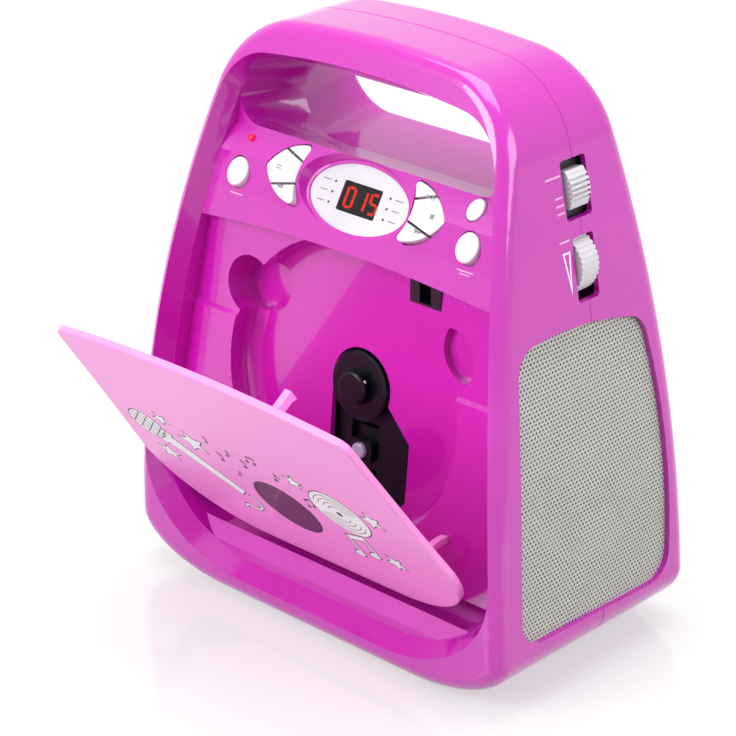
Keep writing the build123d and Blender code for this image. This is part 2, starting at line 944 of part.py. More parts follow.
def grille(side):
    """Perforated plate behind a side opening; the holes are left to its finish."""
    with BuildPart() as plate:
        extrude(grille_area(grille_lap), amount=side * wide)
        extrude(body_outline(wall), amount=deep, both=True, mode=Mode.INTERSECT)
        extrude(body_outline(wall + grille_thickness), amount=deep, both=True, mode=Mode.SUBTRACT)
        add(front_shell.part, mode=Mode.SUBTRACT)
    return plate.part


def speaker_plane(side):
    """Plane facing outwards along a side, level with the speaker's flange."""
    taper = half_at(speaker_height - cone_radius) - half_at(speaker_height + cone_radius)
    lean = math.atan2(taper, 2 * cone_radius)
    offset_x = half_at(speaker_height) - speaker_inset
    return Plane(
        (side * offset_x, speaker_back, speaker_height),
        x_dir=(0, side, 0),
        z_dir=(side * math.cos(lean), 0, math.sin(lean)),
    )


def speaker_frame(side):
    """Pressed basket with its magnet; the flange is trimmed to lie against the grille."""
    face = speaker_plane(side)
    with BuildPart() as frame:
        with BuildSketch(face):
            Circle(speaker_radius)
            Circle(cone_radius, mode=Mode.SUBTRACT)
        extrude(amount=speaker_inset)
        extrude(body_outline(wall + grille_thickness), amount=deep, both=True, mode=Mode.INTERSECT)
        with BuildSketch(face):
            Circle(speaker_radius)
        with BuildSketch(face.offset(-speaker_depth)):
            Circle(magnet_radius)
        loft()
        with BuildSketch(face):
            Circle(cone_radius)
        with BuildSketch(face.offset(basket_wall - speaker_depth)):
            Circle(magnet_radius - basket_wall)
        loft(mode=Mode.SUBTRACT)
        with BuildSketch(face.offset(-speaker_depth)):
            Circle(magnet_radius)
        extrude(amount=-magnet_depth)
    return frame.part


def speaker_cone(side):
    """Paper cone with its surround and dust cap."""
    face = speaker_plane(side)
    section = Plane(face.origin, x_dir=face.x_dir, z_dir=-face.y_dir)
    with BuildPart() as cone:
        with BuildSketch(section):
            Polygon(
                (cone_radius, 0),
                (cone_radius, cone_thickness),
                (cone_radius - surround_width, cone_thickness),
                (cap_radius, 2 * cone_thickness - cone_depth),
                (0, cap_rise - cone_depth),
                (0, -cone_depth),
                (cap_radius, -cone_depth),
                (cone_radius - surround_width, 0),
            )
        revolve(axis=Axis(face.origin, face.z_dir))
    return cone.part


with BuildPart() as right_grille:
    add(grille(1))
with BuildPart() as left_grille:
    add(grille(-1))
with BuildPart() as right_speaker_frame:
    add(speaker_frame(1))
with BuildPart() as left_speaker_frame:
    add(speaker_frame(-1))
with BuildPart() as right_speaker_cone:
    add(speaker_cone(1))
with BuildPart() as left_speaker_cone:
    add(speaker_cone(-1))

slider_lean = math.atan2(
    half_at(slider_height - slider_length) - half_at(slider_height + slider_length), 2 * slider_length
)
slider_plane = Plane(
    (half_at(slider_height), 0, slider_height),
    x_dir=(0, 1, 0),
    z_dir=(math.cos(slider_lean), 0, math.sin(slider_lean)),
)
slider_section = Plane(slider_plane.origin, x_dir=slider_plane.z_dir, z_dir=(0, -1, 0))

with BuildPart() as function_slider:
    with BuildSketch(slider_section):
        with BuildLine():
            Polyline((0, slider_length / 2), (-slider_back, slider_length / 2))
            Line((-slider_back, slider_length / 2), (-slider_back, -slider_length / 2))
            Line((-slider_back, -slider_length / 2), (0, -slider_length / 2))
            ThreePointArc((0, -slider_length / 2), (slider_proud, 0), (0, slider_length / 2))
        make_face()
    extrude(amount=slider_width / 2, both=True)
    with BuildSketch(slider_section):
        with GridLocations(0, slider_rib_pitch, 1, int(slider_length / slider_rib_pitch)):
            with Locations((slider_proud / 2 + slider_rib, 0)):
                Rectangle(slider_proud, slider_rib)
    extrude(amount=slider_width / 2, both=True, mode=Mode.SUBTRACT)

with BuildPart() as selector_switch:
    with BuildSketch(slider_plane.offset(-slider_back)):
        with Locations(((selector_front + side_board_face) / 2, 0)):
            Rectangle(side_board_face - selector_front, slider_slot_length)
    extrude(amount=-selector_body_depth)

wheel_centre = half_at(wheel_height) + wheel_proud - wheel_radius

with BuildPart() as volume_wheel:
    with BuildSketch(Plane.XZ.offset(-wheel_width / 2)):
        with Locations((wheel_centre, wheel_height)):
            Circle(wheel_radius)
            with PolarLocations(wheel_radius, wheel_ribs):
                Circle(wheel_rib_radius, mode=Mode.SUBTRACT)
    extrude(amount=wheel_width)
    with BuildSketch(Plane.XZ.offset(-wheel_width / 2)):
        with Locations((wheel_centre, wheel_height)):
            Circle(pot_shaft_radius)
    extrude(amount=-pot_gap - pot_depth / 2)

with BuildPart() as volume_control:
    with BuildSketch(Plane.XZ.offset(-wheel_width / 2 - pot_gap)):
        with Locations((wheel_centre, wheel_height)):
            Rectangle(pot_size, pot_size)
    extrude(amount=-pot_depth)
    with BuildSketch(Plane.XZ.offset(-wheel_width / 2 - pot_gap)):
        with Locations((wheel_centre, wheel_height)):
            Circle(pot_shaft_radius + running_fit)
    extrude(amount=-pot_depth / 2, mode=Mode.SUBTRACT)

with BuildPart() as side_board:
    with BuildSketch(Plane.XZ.offset(-side_board_face)):
        Polygon(*side_board_corners)
    extrude(amount=-board_thickness)

# Disc door, hinged along its foot


def door_outline(inset):
    """Door outline on the hinge plane; the sides run parallel to the body sides."""
    knee = door_foot + door_corner_height
    middle = (knee + door_top_side) / 2
    foot = half_at(hinge_height + knee) - door_side_margin - inset
    waist = half_at(hinge_height + middle) - door_side_margin - inset
    head = half_at(hinge_height + door_top_side) - door_head_margin - inset
    low = door_foot + inset
    width = door_corner_width - inset
    height = door_corner_height - inset
    side_top = door_top_side - inset
    with BuildSketch(hinge_plane.offset(door_face - door_thickness)) as shape:
        with BuildLine():
            Line((width - foot, low), (foot - width, low))
            EllipticalCenterArc((foot - width, knee), width, height, start_angle=270, arc_size=90)
            ThreePointArc((foot, knee), (waist, middle), (head, side_top))
            ThreePointArc((head, side_top), (0, door_top_centre - inset), (-head, side_top))
            ThreePointArc((-head, side_top), (-waist, middle), (-foot, knee))
            EllipticalCenterArc((width - foot, knee), width, height, start_angle=180, arc_size=90)
        make_face()
        fillet(shape.vertices().sort_by(Axis.Y)[-2:], door_top_round)
    return shape.sketch


with BuildPart() as disc_door:
    extrude(door_outline(0), amount=door_thickness)
    front_face = disc_door.faces().filter_by(Axis(hinge_plane.origin, hinge_plane.z_dir)).sort_by(Axis.Y)[0]
    fillet(front_face.edges(), door_edge_round)
    with BuildSketch(hinge_plane):
        with Locations((0, door_window_rise)):
            Circle(door_window_radius - window_ledge)
    extrude(amount=door_face, mode=Mode.SUBTRACT)
    with BuildSketch(hinge_plane.offset(door_face - window_pane_thickness)):
        with Locations((0, door_window_rise)):
            Circle(door_window_radius)
    extrude(amount=window_pane_thickness, mode=Mode.SUBTRACT)
    # latch hook behind the top edge
    with BuildSketch(hinge_section(hook_offset)):
        with Locations((door_face - door_thickness, hook_rise)):
            Polygon(
                (0, hook_height / 2),
                (-hook_length, hook_height / 2),
                (-hook_length, -hook_height / 2 - hook_barb),
                (-hook_length + 2 * hook_barb, -hook_height / 2),
                (0, -hook_height / 2),
            )
    extrude(amount=hook_width / 2, both=True)
    for side in (-1, 1):
        with BuildSketch(hinge_section(side * arm_offset)):
            Circle(barrel_radius)
            with Locations(((door_face - door_thickness) / 2, 0)):
                Rectangle(door_face - door_thickness, 2 * barrel_radius)
        extrude(amount=arm_width / 2, both=True)
        with BuildSketch(hinge_section(side * arm_offset)):
            Circle(pin_radius + running_fit)
        extrude(amount=arm_width / 2, both=True, mode=Mode.SUBTRACT)
        stay = stay_section(side * stay_offset, stay_start, stay_end, 0)
        extrude(stay, amount=stay_width / 2, both=True)

with BuildPart() as door_window:
    with BuildSketch(hinge_plane.offset(door_face - window_pane_thickness)):
        with Locations((0, door_window_rise)):
            Circle(door_window_radius - door_window_gap)
    extrude(amount=window_pane_thickness)

with BuildPart() as hinge_pins:
    for side in (-1, 1):
        with BuildSketch(hinge_section(side * arm_offset)):
            Circle(pin_radius)
        extrude(amount=pin_length / 2, both=True)

with BuildPart() as lid_switch:
    with BuildSketch(Plane.XZ.offset(-switch_front)):
        with Locations((hook_offset, switch_centre_height)):
            Rectangle(switch_width, switch_height)
    extrude(amount=-switch_depth)
    with BuildSketch(Plane.XZ.offset(-switch_front)):
        with Locations((hook_offset, switch_slot_centre)):
            Rectangle(switch_slot_width, switch_slot_height)
    extrude(amount=-switch_slot_depth, mode=Mode.SUBTRACT)
    with BuildSketch(Plane.XZ.offset(-switch_front)):
        with Locations((hook_offset, switch_slot_centre)):
            Rectangle(plunger_width + 2 * plunger_gap, plunger_width + 2 * plunger_gap)
    extrude(amount=-switch_depth, mode=Mode.SUBTRACT)

with BuildPart() as lid_switch_plunger:
    with BuildSketch(Plane.XZ.offset(-switch_front - switch_slot_depth + plunger_proud)):
        with Locations((hook_offset, switch_slot_centre)):
            Rectangle(plunger_width, plunger_width)
    extrude(amount=-plunger_length)

# Disc drive


def on_deck(depth):
    return deck_plane.offset(-depth)


with BuildPart() as drive_chassis:
    with BuildSketch(on_deck(plate_depth + plate_thickness)):
        with Locations(((plate_left + plate_right) / 2, (plate_low + plate_high) / 2)):
            Rectangle(plate_right - plate_left, plate_high - plate_low)
        Circle(spindle_hole, mode=Mode.SUBTRACT)
        with Locations((0, (rod_low + rod_high) / 2 - holder_slot_shift)):
            Rectangle(2 * (holder_half + holder_gap), holder_slot_length, mode=Mode.SUBTRACT)
    extrude(amount=plate_thickness)
    # blocks for the sled rods, the gear axle and the motor posts
    with BuildSketch(on_deck(sled_bottom)):
        with Locations((0, (rod_low + rod_high) / 2)):
            with GridLocations(2 * rod_spread, rod_high - rod_low - rod_block, 2, 2):
                Rectangle(2 * rod_block, rod_block)
    extrude(amount=sled_bottom - plate_depth - plate_thickness)
    with BuildSketch(on_deck(gear_bottom + axle_reach)):
        with Locations((gear_centre, -lens_drop)):
            Circle(gear_axle_radius)
    extrude(amount=gear_bottom + axle_reach - plate_depth - plate_thickness)
    with BuildSketch(on_deck(sled_motor_face)):
        with Locations(*sled_motor_posts):
            Circle(motor_post_radius)
    extrude(amount=sled_motor_face - plate_depth - plate_thickness)
    with BuildSketch(rod_section(rod_low)):
        with Locations((rod_spread, rod_depth), (-rod_spread, rod_depth)):
            Circle(rod_radius)
    extrude(amount=rod_high - rod_low, mode=Mode.SUBTRACT)

with BuildPart() as rubber_isolators:
    with BuildSketch(on_deck(plate_depth)):
        with Locations(*isolator_spots):
            Circle(isolator_radius)
    extrude(amount=plate_depth - well_depth - wall)

with BuildPart() as guide_rods:
    with BuildSketch(rod_section(rod_low)):
        with Locations((rod_spread, rod_depth), (-rod_spread, rod_depth)):
            Circle(rod_radius)
    extrude(amount=rod_high - rod_low)

with BuildPart() as optical_sled:
    with BuildSketch(on_deck(sled_bottom)):
        with Locations((0, (sled_low + sled_high) / 2)):
            Rectangle(2 * sled_half, sled_high - sled_low)
    extrude(amount=sled_bottom - sled_top)
    with BuildSketch(on_deck(sled_top)):
        with Locations((0, -lens_drop)):
            RectangleRounded(2 * holder_half, 2 * holder_half_length, holder_round)
    extrude(amount=sled_top - holder_top)
    # toothed rack along the right side
    with BuildSketch(on_deck(gear_bottom)):
        with Locations(((sled_half + rack_root) / 2, (rack_low + rack_high) / 2)):
            Rectangle(rack_root - sled_half, rack_high - rack_low)
        with Locations((rack_root, -lens_drop + rack_shift * tooth_pitch)):
            with GridLocations(0, tooth_pitch, 1, rack_teeth):
                Polygon(*tooth_points)
    extrude(amount=gear_bottom - gear_top)
    with BuildSketch(rod_section(rod_low)):
        with Locations((rod_spread, rod_depth), (-rod_spread, rod_depth)):
            Circle(rod_radius + running_fit)
    extrude(amount=rod_high - rod_low, mode=Mode.SUBTRACT)

with BuildPart() as pickup_lens:
    with BuildSketch(on_deck(holder_top)):
        with Locations((0, -lens_drop)):
            Circle(lens_radius)
    extrude(amount=lens_height)
    fillet(pickup_lens.faces().sort_by(Axis.Y)[0].edges(), lens_height / 2)


def gear(centre, teeth, phase, bore):
    root = gear_module * (teeth / 2 - tooth_foot)
    with BuildPart() as wheel:
        with BuildSketch(on_deck(gear_bottom)):
            with Locations(centre):
                Circle(root)
                with PolarLocations(root, teeth, start_angle=phase):
                    Polygon(*tooth_points)
                Circle(bore, mode=Mode.SUBTRACT)
        extrude(amount=gear_bottom - gear_top)
    return wheel.part


with BuildPart() as sled_gear:
    add(gear((gear_centre, -lens_drop), gear_teeth, 180 / gear_teeth, gear_axle_radius + running_fit))

with BuildPart() as sled_pinion:
    add(gear((gear_centre, pinion_height), pinion_teeth, 180 / pinion_teeth, spindle_radius))
    with BuildSketch(on_deck(sled_motor_face + sled_motor_depth / 2)):
        with Locations((gear_centre, pinion_height)):
            Circle(spindle_radius)
    extrude(amount=sled_motor_face + sled_motor_depth / 2 - gear_top)

with BuildPart() as sled_motor:
    with BuildSketch(on_deck(sled_motor_face + sled_motor_depth)):
        with Locations((gear_centre, pinion_height)):
            Circle(sled_motor_radius)
            Circle(spindle_radius + running_fit, mode=Mode.SUBTRACT)
    extrude(amount=sled_motor_depth)

with BuildPart() as spindle_motor:
    with BuildSketch(on_deck(plate_depth + plate_thickness + spindle_motor_depth)):
        Circle(spindle_motor_radius)
        Circle(spindle_radius + running_fit, mode=Mode.SUBTRACT)
    extrude(amount=spindle_motor_depth)

with BuildPart() as turntable_hub:
    with BuildSketch(on_deck(hub_face + hub_thickness)):
        Circle(hub_radius)
    extrude(amount=hub_thickness)
    chamfer(turntable_hub.faces().sort_by(Axis.Y)[0].edges(), hub_bevel)
    with BuildSketch(on_deck(hub_face)):
        Circle(boss_radius)
    extrude(amount=boss_height)
    fillet(turntable_hub.faces().sort_by(Axis.Y)[0].edges(), boss_round)
    with BuildSketch(on_deck(plate_depth + spindle_motor_depth)):
        Circle(spindle_radius)
    extrude(amount=plate_depth + spindle_motor_depth - hub_face - hub_thickness)
    with Locations(on_deck(ball_depth)):
        with Locations(*ball_spots):
            Sphere(ball_radius, mode=Mode.SUBTRACT)

with BuildPart() as chuck_balls:
    with Locations(on_deck(ball_depth)):
        with Locations(*ball_spots):
            Sphere(ball_radius)

# Display and keys on the control panel


def on_panel(depth):
    return panel_plane.offset(-depth)


def digit_segments(lit):
    """Strokes of one seven-segment digit, from the top stroke down to the foot, left before right."""
    high = (digit_height - digit_stroke) / 2
    across = (digit_width - digit_stroke) / 2
    spots = (
        (0, high, True),
        (-across, high / 2, False),
        (across, high / 2, False),
        (0, 0, True),
        (-across, -high / 2, False),
        (across, -high / 2, False),
        (0, -high, True),
    )
    for spot, shown in zip(spots, lit):
        if not shown:
            continue
        long_side = 2 * across if spot[2] else high
        with Locations((spot[0], spot[1])):
            if spot[2]:
                Rectangle(long_side - digit_stroke - digit_gap, digit_stroke)
            else:
                Rectangle(digit_stroke, long_side - digit_gap)


with BuildPart() as display_bezel:
    with BuildSketch(on_panel(bezel_face + bezel_thickness)):
        with Locations((0, dish_drop)):
            Ellipse(bezel_half_width, bezel_half_height)
            RectangleRounded(window_width, window_height, window_round, mode=Mode.SUBTRACT)
    extrude(amount=bezel_thickness)

with BuildPart() as display_window:
    with BuildSketch(on_panel(bezel_face + window_sink + window_thickness)):
        with Locations((0, dish_drop)):
            RectangleRounded(window_width, window_height, window_round)
    extrude(amount=window_thickness)

with BuildPart() as display_digits:
    with BuildSketch(on_panel(display_front)):
        for place, lit in zip((-1, 0, 1), digits_shown):
            with Locations((place * digit_pitch, dish_drop)):
                digit_segments(lit)
    extrude(amount=digit_thickness)

with BuildPart() as display_module:
    with BuildSketch(on_panel(board_face)):
        with Locations((0, dish_drop)):
            Rectangle(module_width, module_height)
    extrude(amount=board_face - bezel_face - bezel_thickness)
    with BuildSketch(on_panel(board_face)):
        with Locations((0, dish_drop)):
            Rectangle(window_width - 2 * window_margin, window_height - 2 * window_margin)
    extrude(amount=board_face - display_front)


def key_top(key):
    return key.faces().filter_by(Axis(panel_plane.origin, panel_plane.z_dir)).sort_by(Axis.Y)[0]


def fan_point(angle):
    return (key_fan_radius * math.cos(math.radians(angle)), key_fan_radius * math.sin(math.radians(angle)))


def arc_key(low_angle, high_angle):
    """One key of the right leaf, between two spokes of the fan, with its stem."""
    with BuildPart() as key:
        extrude(key_leaf(on_panel(key_back), 1, key_gap), amount=key_back + key_proud)
        with BuildSketch(on_panel(key_back)):
            with Locations((key_fan_centre, 0)):
                Polygon((0, 0), fan_point(low_angle), fan_point(high_angle))
        extrude(amount=key_back + key_proud, mode=Mode.INTERSECT)
        with BuildSketch(on_panel(key_back)):
            for angle in key_fan_angles:
                with Locations(Location((key_fan_centre, 0), angle)):
                    with Locations((key_reach / 2, 0)):
                        Rectangle(key_reach, key_spoke)
        extrude(amount=key_back + key_proud, mode=Mode.SUBTRACT)
        fillet(key_top(key).edges(), key_edge_round)
        middle = panel_plane.to_local_coords(key.part.center())
        with BuildSketch(on_panel(stem_end)):
            with Locations((middle.X, middle.Y)):
                Circle(stem_radius)
        extrude(amount=stem_end - key_back)
    return key.part


def oval_key(spot, half_width, half_height, turn, proud):
    with BuildPart() as key:
        with BuildSketch(on_panel(key_back)):
            with Locations(Location(spot, turn)):
                Ellipse(half_width, half_height)
        extrude(amount=key_back + proud)
        fillet(key_top(key).edges(), round_key_edge)
        with BuildSketch(on_panel(stem_end)):
            with Locations(spot):
                Circle(stem_radius)
        extrude(amount=stem_end - key_back)
    return key.part


with BuildPart() as right_lower_key:
    add(arc_key(-90, key_fan_angles[0]))
with BuildPart() as right_middle_key:
    add(arc_key(*key_fan_angles))
with BuildPart() as right_upper_key:
    add(arc_key(key_fan_angles[1], 90))
with BuildPart() as left_lower_key:
    mirror(right_lower_key.part, about=Plane.YZ)
with BuildPart() as left_middle_key:
    mirror(right_middle_key.part, about=Plane.YZ)
with BuildPart() as left_upper_key:
    mirror(right_upper_key.part, about=Plane.YZ)

left_spot = (-round_key_spread, round_key_drop)
right_spot = (round_key_spread, round_key_drop)
small_spot = (small_key_spread, small_key_rise)
with BuildPart() as left_round_key:
    add(oval_key(left_spot, round_key_half_width, round_key_half_height, 0, key_proud))
with BuildPart() as right_round_key:
    add(oval_key(right_spot, round_key_half_width, round_key_half_height, 0, key_proud))
with BuildPart() as small_round_key:
    add(oval_key(small_spot, small_key_half_width, small_key_half_height, small_key_turn, small_key_proud))

with BuildPart() as power_lamp:
    with BuildSketch(on_panel(board_face)):
        with Locations((-small_key_spread, small_key_rise)):
            Circle(lamp_radius)
    extrude(amount=board_face + lamp_proud)
    fillet(power_lamp.faces().sort_by(Axis.Y)[0].edges(), lamp_round)

with BuildPart() as key_board:
    with BuildSketch(on_panel(board_face + board_thickness)):
        with Locations((0, (board_low + board_high) / 2)):
            Rectangle(2 * board_half_width, board_high - board_low)
    extrude(amount=board_thickness)

all_keys = (
    left_lower_key,
    left_middle_key,
    left_upper_key,
    right_lower_key,
    right_middle_key,
    right_upper_key,
    left_round_key,
    right_round_key,
    small_round_key,
)
key_centres = [panel_plane.to_local_coords(key.part.center()) for key in all_keys]

with BuildPart() as key_switches:
    with BuildSketch(on_panel(board_face)):
        with Locations(*((centre.X, centre.Y) for centre in key_centres)):
            Rectangle(switch_cap_size, switch_cap_size)
    extrude(amount=switch_cap_height)

# Back of the case and electronics

with BuildPart() as main_board:
    with BuildSketch(Plane.XZ.offset(-main_board_depth)):
        with Locations((0, (main_board_low + main_board_high) / 2)):
            Rectangle(2 * main_board_half, main_board_high - main_board_low)
    extrude(amount=board_thickness)
    with BuildSketch(Plane.XZ.offset(board_thickness - main_board_depth)):
        with Locations(chip_spot):
            Rectangle(chip_size, chip_size)
        with Locations(*capacitor_spots):
            Circle(capacitor_radius)
    extrude(amount=component_height)

with BuildPart() as transformer_core:
    with BuildSketch(Plane.XZ.offset(-transformer_front)):
        with Locations(transformer_spot):
            Rectangle(transformer_width, transformer_height)
            with GridLocations(transformer_width / 2, 0, 2, 1):
                Rectangle(coil_width, coil_height, mode=Mode.SUBTRACT)
    extrude(amount=-transformer_depth)

with BuildPart() as transformer_coil:
    with BuildSketch(Plane.XZ.offset(coil_overhang - transformer_front)):
        with Locations(transformer_spot):
            with GridLocations(transformer_width / 2, 0, 2, 1):
                Rectangle(coil_width, coil_height)
    extrude(amount=-transformer_depth - 2 * coil_overhang)

with BuildPart() as battery_tray:
    with BuildSketch(Plane.XZ.offset(-bay_back)):
        with Locations(((bay_left + bay_right) / 2, (bay_low + bay_high) / 2)):
            Rectangle(bay_right - bay_left + 4 * bay_wall, bay_high - bay_low + 4 * bay_wall)
    extrude(amount=-deep)
    extrude(body_outline(wall), amount=-deep, mode=Mode.INTERSECT)
    extrude(side_profile(rear_at, -wall), amount=wide, both=True, mode=Mode.INTERSECT)
    with BuildSketch(Plane.XZ.offset(-bay_back - bay_wall)):
        with Locations(((bay_left + bay_right) / 2, (bay_low + bay_high) / 2)):
            Rectangle(bay_right - bay_left + 2 * bay_wall, bay_high - bay_low + 2 * bay_wall)
    extrude(amount=-deep, mode=Mode.SUBTRACT)

with BuildPart() as battery_door:
    extrude(battery_area(0), amount=-deep)
    extrude(side_profile(rear_at, 0), amount=wide, both=True, mode=Mode.INTERSECT)
    extrude(side_profile(rear_at, -battery_thickness), amount=wide, both=True, mode=Mode.SUBTRACT)
    with BuildSketch(Plane.YZ.offset((bay_left + bay_right) / 2)):
        with Locations((battery_hinge_depth, bay_low)):
            Circle(battery_barrel)
    extrude(amount=(bay_right - bay_left) / 2, both=True)
    with BuildSketch(Plane.YZ.offset((bay_left + bay_right) / 2)):
        with Locations((battery_hinge_depth, bay_low)):
            Circle(battery_pin)
    extrude(amount=(bay_right - bay_left) / 2 + battery_pin_length - battery_gap, both=True)

with BuildPart() as battery_springs:
    with BuildSketch(Plane.YZ.offset(bay_left - bay_wall)):
        with Locations(cell_spot):
            Circle(spring_radius)
    extrude(amount=spring_length, taper=spring_taper)

with BuildPart() as microphone_jacks:
    with BuildSketch(Plane.XZ.offset(-jack_panel_depth)):
        with Locations(*((spot, jack_row) for spot in microphone_spots)):
            Circle(microphone_collar)
            Circle(microphone_bore, mode=Mode.SUBTRACT)
    extrude(amount=jack_body_depth)

with BuildPart() as audio_jack:
    with BuildSketch(Plane.XZ.offset(-jack_panel_depth)):
        with Locations((audio_spot, jack_row)):
            Circle(audio_collar)
            Circle(audio_bore, mode=Mode.SUBTRACT)
    extrude(amount=jack_body_depth)

with BuildPart() as data_socket:
    with BuildSketch(Plane.XZ.offset(-jack_panel_depth)):
        with Locations((data_spot, jack_row)):
            Rectangle(data_width, data_height)
            Rectangle(data_width - 2 * data_shell, data_height - 2 * data_shell, mode=Mode.SUBTRACT)
            with Locations((0, data_tongue_rise)):
                Rectangle(data_width - 2 * data_shell, data_tongue)
    extrude(amount=data_depth)

with BuildPart() as mains_inlet:
    with BuildSketch(Plane.XZ.offset(-jack_panel_depth)):
        with Locations((mains_spot, jack_row)):
            SlotOverall(mains_width, mains_height)
    extrude(amount=mains_depth)
    with BuildSketch(Plane.XZ.offset(-jack_panel_depth)):
        with Locations((mains_spot, jack_row)):
            SlotOverall(mains_width - 2 * mains_wall, mains_height - 2 * mains_wall)
            with GridLocations(2 * mains_pin_spread, 0, 2, 1):
                Circle(mains_pin_radius, mode=Mode.SUBTRACT)
    extrude(amount=mains_depth - mains_wall, mode=Mode.SUBTRACT)

with BuildPart() as case_screws:
    add(board_posts(post_spots, screw_radius, screw_seat, pilot_gap - screw_reach))
    add(board_posts(post_spots, head_radius, screw_seat, screw_seat + head_height))

with BuildPart() as rubber_feet:
    with BuildSketch():
        with Locations(*foot_spots):
            Circle(foot_radius)
    extrude(amount=foot_height + foot_sink)

nodes = {
    "front_shell": front_shell,
    "rear_shell": rear_shell,
    "right_grille": right_grille,
    "left_grille": left_grille,
    "right_speaker_frame": right_speaker_frame,
    "left_speaker_frame": left_speaker_frame,
    "right_speaker_cone": right_speaker_cone,
    "left_speaker_cone": left_speaker_cone,
    "function_slider": function_slider,
    "selector_switch": selector_switch,
    "volume_wheel": volume_wheel,
    "volume_control": volume_control,
    "side_board": side_board,
    "disc_door": disc_door,
    "door_window": door_window,
    "hinge_pins": hinge_pins,
    "lid_switch": lid_switch,
    "lid_switch_plunger": lid_switch_plunger,
    "drive_chassis": drive_chassis,
    "rubber_isolators": rubber_isolators,
    "guide_rods": guide_rods,
    "optical_sled": optical_sled,
    "pickup_lens": pickup_lens,
    "sled_gear": sled_gear,
    "sled_pinion": sled_pinion,
    "sled_motor": sled_motor,
    "spindle_motor": spindle_motor,
    "turntable_hub": turntable_hub,
    "chuck_balls": chuck_balls,
    "display_bezel": display_bezel,
    "display_window": display_window,
    "display_digits": display_digits,
    "display_module": display_module,
    "left_lower_key": left_lower_key,
    "left_middle_key": left_middle_key,
    "left_upper_key": left_upper_key,
    "right_lower_key": right_lower_key,
    "right_middle_key": right_middle_key,
    "right_upper_key": right_upper_key,
    "left_round_key": left_round_key,
    "right_round_key": right_round_key,
    "small_round_key": small_round_key,
    "power_lamp": power_lamp,
    "key_board": key_board,
    "key_switches": key_switches,
    "main_board": main_board,
    "transformer_core": transformer_core,
    "transformer_coil": transformer_coil,
    "battery_tray": battery_tray,
    "battery_door": battery_door,
    "battery_springs": battery_springs,
    "microphone_jacks": microphone_jacks,
    "audio_jack": audio_jack,
    "data_socket": data_socket,
    "mains_inlet": mains_inlet,
    "case_screws": case_screws,
    "rubber_feet": rubber_feet,
}

for name, node in nodes.items():
    node.part.label = name
    export_step(node.part, f"parts/{name}.step")
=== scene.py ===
"""Karaoke machine with disc tray: its finishes, printing, perforated grilles, stage and camera."""

import math

import bmesh
import bpy
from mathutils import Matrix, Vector


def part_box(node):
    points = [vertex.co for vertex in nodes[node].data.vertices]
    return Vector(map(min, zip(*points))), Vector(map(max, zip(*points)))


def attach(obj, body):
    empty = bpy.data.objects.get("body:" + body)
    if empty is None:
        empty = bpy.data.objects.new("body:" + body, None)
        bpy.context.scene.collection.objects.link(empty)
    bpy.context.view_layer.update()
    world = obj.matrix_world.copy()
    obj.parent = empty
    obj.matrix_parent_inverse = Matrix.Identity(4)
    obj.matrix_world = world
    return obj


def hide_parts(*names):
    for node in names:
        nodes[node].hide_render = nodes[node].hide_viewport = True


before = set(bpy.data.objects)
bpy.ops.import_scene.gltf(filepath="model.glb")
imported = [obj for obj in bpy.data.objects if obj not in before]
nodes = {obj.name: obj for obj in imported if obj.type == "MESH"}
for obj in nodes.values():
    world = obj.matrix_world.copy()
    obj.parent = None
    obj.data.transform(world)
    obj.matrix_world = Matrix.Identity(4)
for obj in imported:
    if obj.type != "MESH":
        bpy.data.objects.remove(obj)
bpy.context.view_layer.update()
MM = 0.001
PRINT_THICKNESS = 0.04
PRINT_SINK = 0.02


def srgb(code):
    """Linear colour from an sRGB hex value."""
    parts = [int(code[i : i + 2], 16) / 255 for i in (0, 2, 4)]
    return [c / 12.92 if c <= 0.04045 else ((c + 0.055) / 1.055) ** 2.4 for c in parts] + [1.0]


def add_node(tree, kind, settings=None, inputs=None):
    """Adds one node, sets its properties, and gives each input a value or a link."""
    made = tree.nodes.new(kind)
    for name, value in (settings or {}).items():
        setattr(made, name, value)
    for socket, source in (inputs or {}).items():
        if isinstance(source, bpy.types.NodeSocket):
            tree.links.new(source, made.inputs[socket])
        else:
            made.inputs[socket].default_value = source
    return made


# Materials: the sizes of their patterns are in millimetres, and sRGB codes give their colours

FLOW_SIZE = 35.0
HAZE_SIZE = 12.0
DIFFUSER_SIZE = 3.0
TRACKS_PER_METRE = 220.0
CLEAR_ROUGHNESS = (0.03, 0.08)


def surface(name, shader_values):
    """A new material with its shader and an Object coordinate source."""
    material = bpy.data.materials.new(name)
    material.use_nodes = True
    tree = material.node_tree
    tree.nodes.clear()
    shader = add_node(tree, "ShaderNodeBsdfPrincipled", inputs=shader_values)
    add_node(tree, "ShaderNodeOutputMaterial", inputs={"Surface": shader.outputs["BSDF"]})
    place = add_node(tree, "ShaderNodeTexCoord").outputs["Object"]
    return material, tree, shader, place


def per_mm(size):
    """Noise scale that gives features of about this size in millimetres."""
    return 1 / (size * MM)


def vary_colour(tree, shader, source, low, high):
    """Base colour between two sRGB codes; 0, 6 and 7 are the mix's factor and its two colour sockets."""
    mix = add_node(tree, "ShaderNodeMix", {"data_type": "RGBA"}, {0: source, 6: srgb(low), 7: srgb(high)})
    tree.links.new(mix.outputs[2], shader.inputs["Base Color"])


def vary_roughness(tree, shader, source, low, high):
    """Roughness between two values."""
    spread = add_node(tree, "ShaderNodeMapRange", inputs={"Value": source, "To Min": low, "To Max": high})
    tree.links.new(spread.outputs["Result"], shader.inputs["Roughness"])


def raise_bumps(tree, shader, source, height):
    """Bumps of this height in millimetres."""
    bump = add_node(
        tree, "ShaderNodeBump", inputs={"Height": source, "Strength": 1.0, "Distance": height * MM}
    )
    tree.links.new(bump.outputs["Normal"], shader.inputs["Normal"])


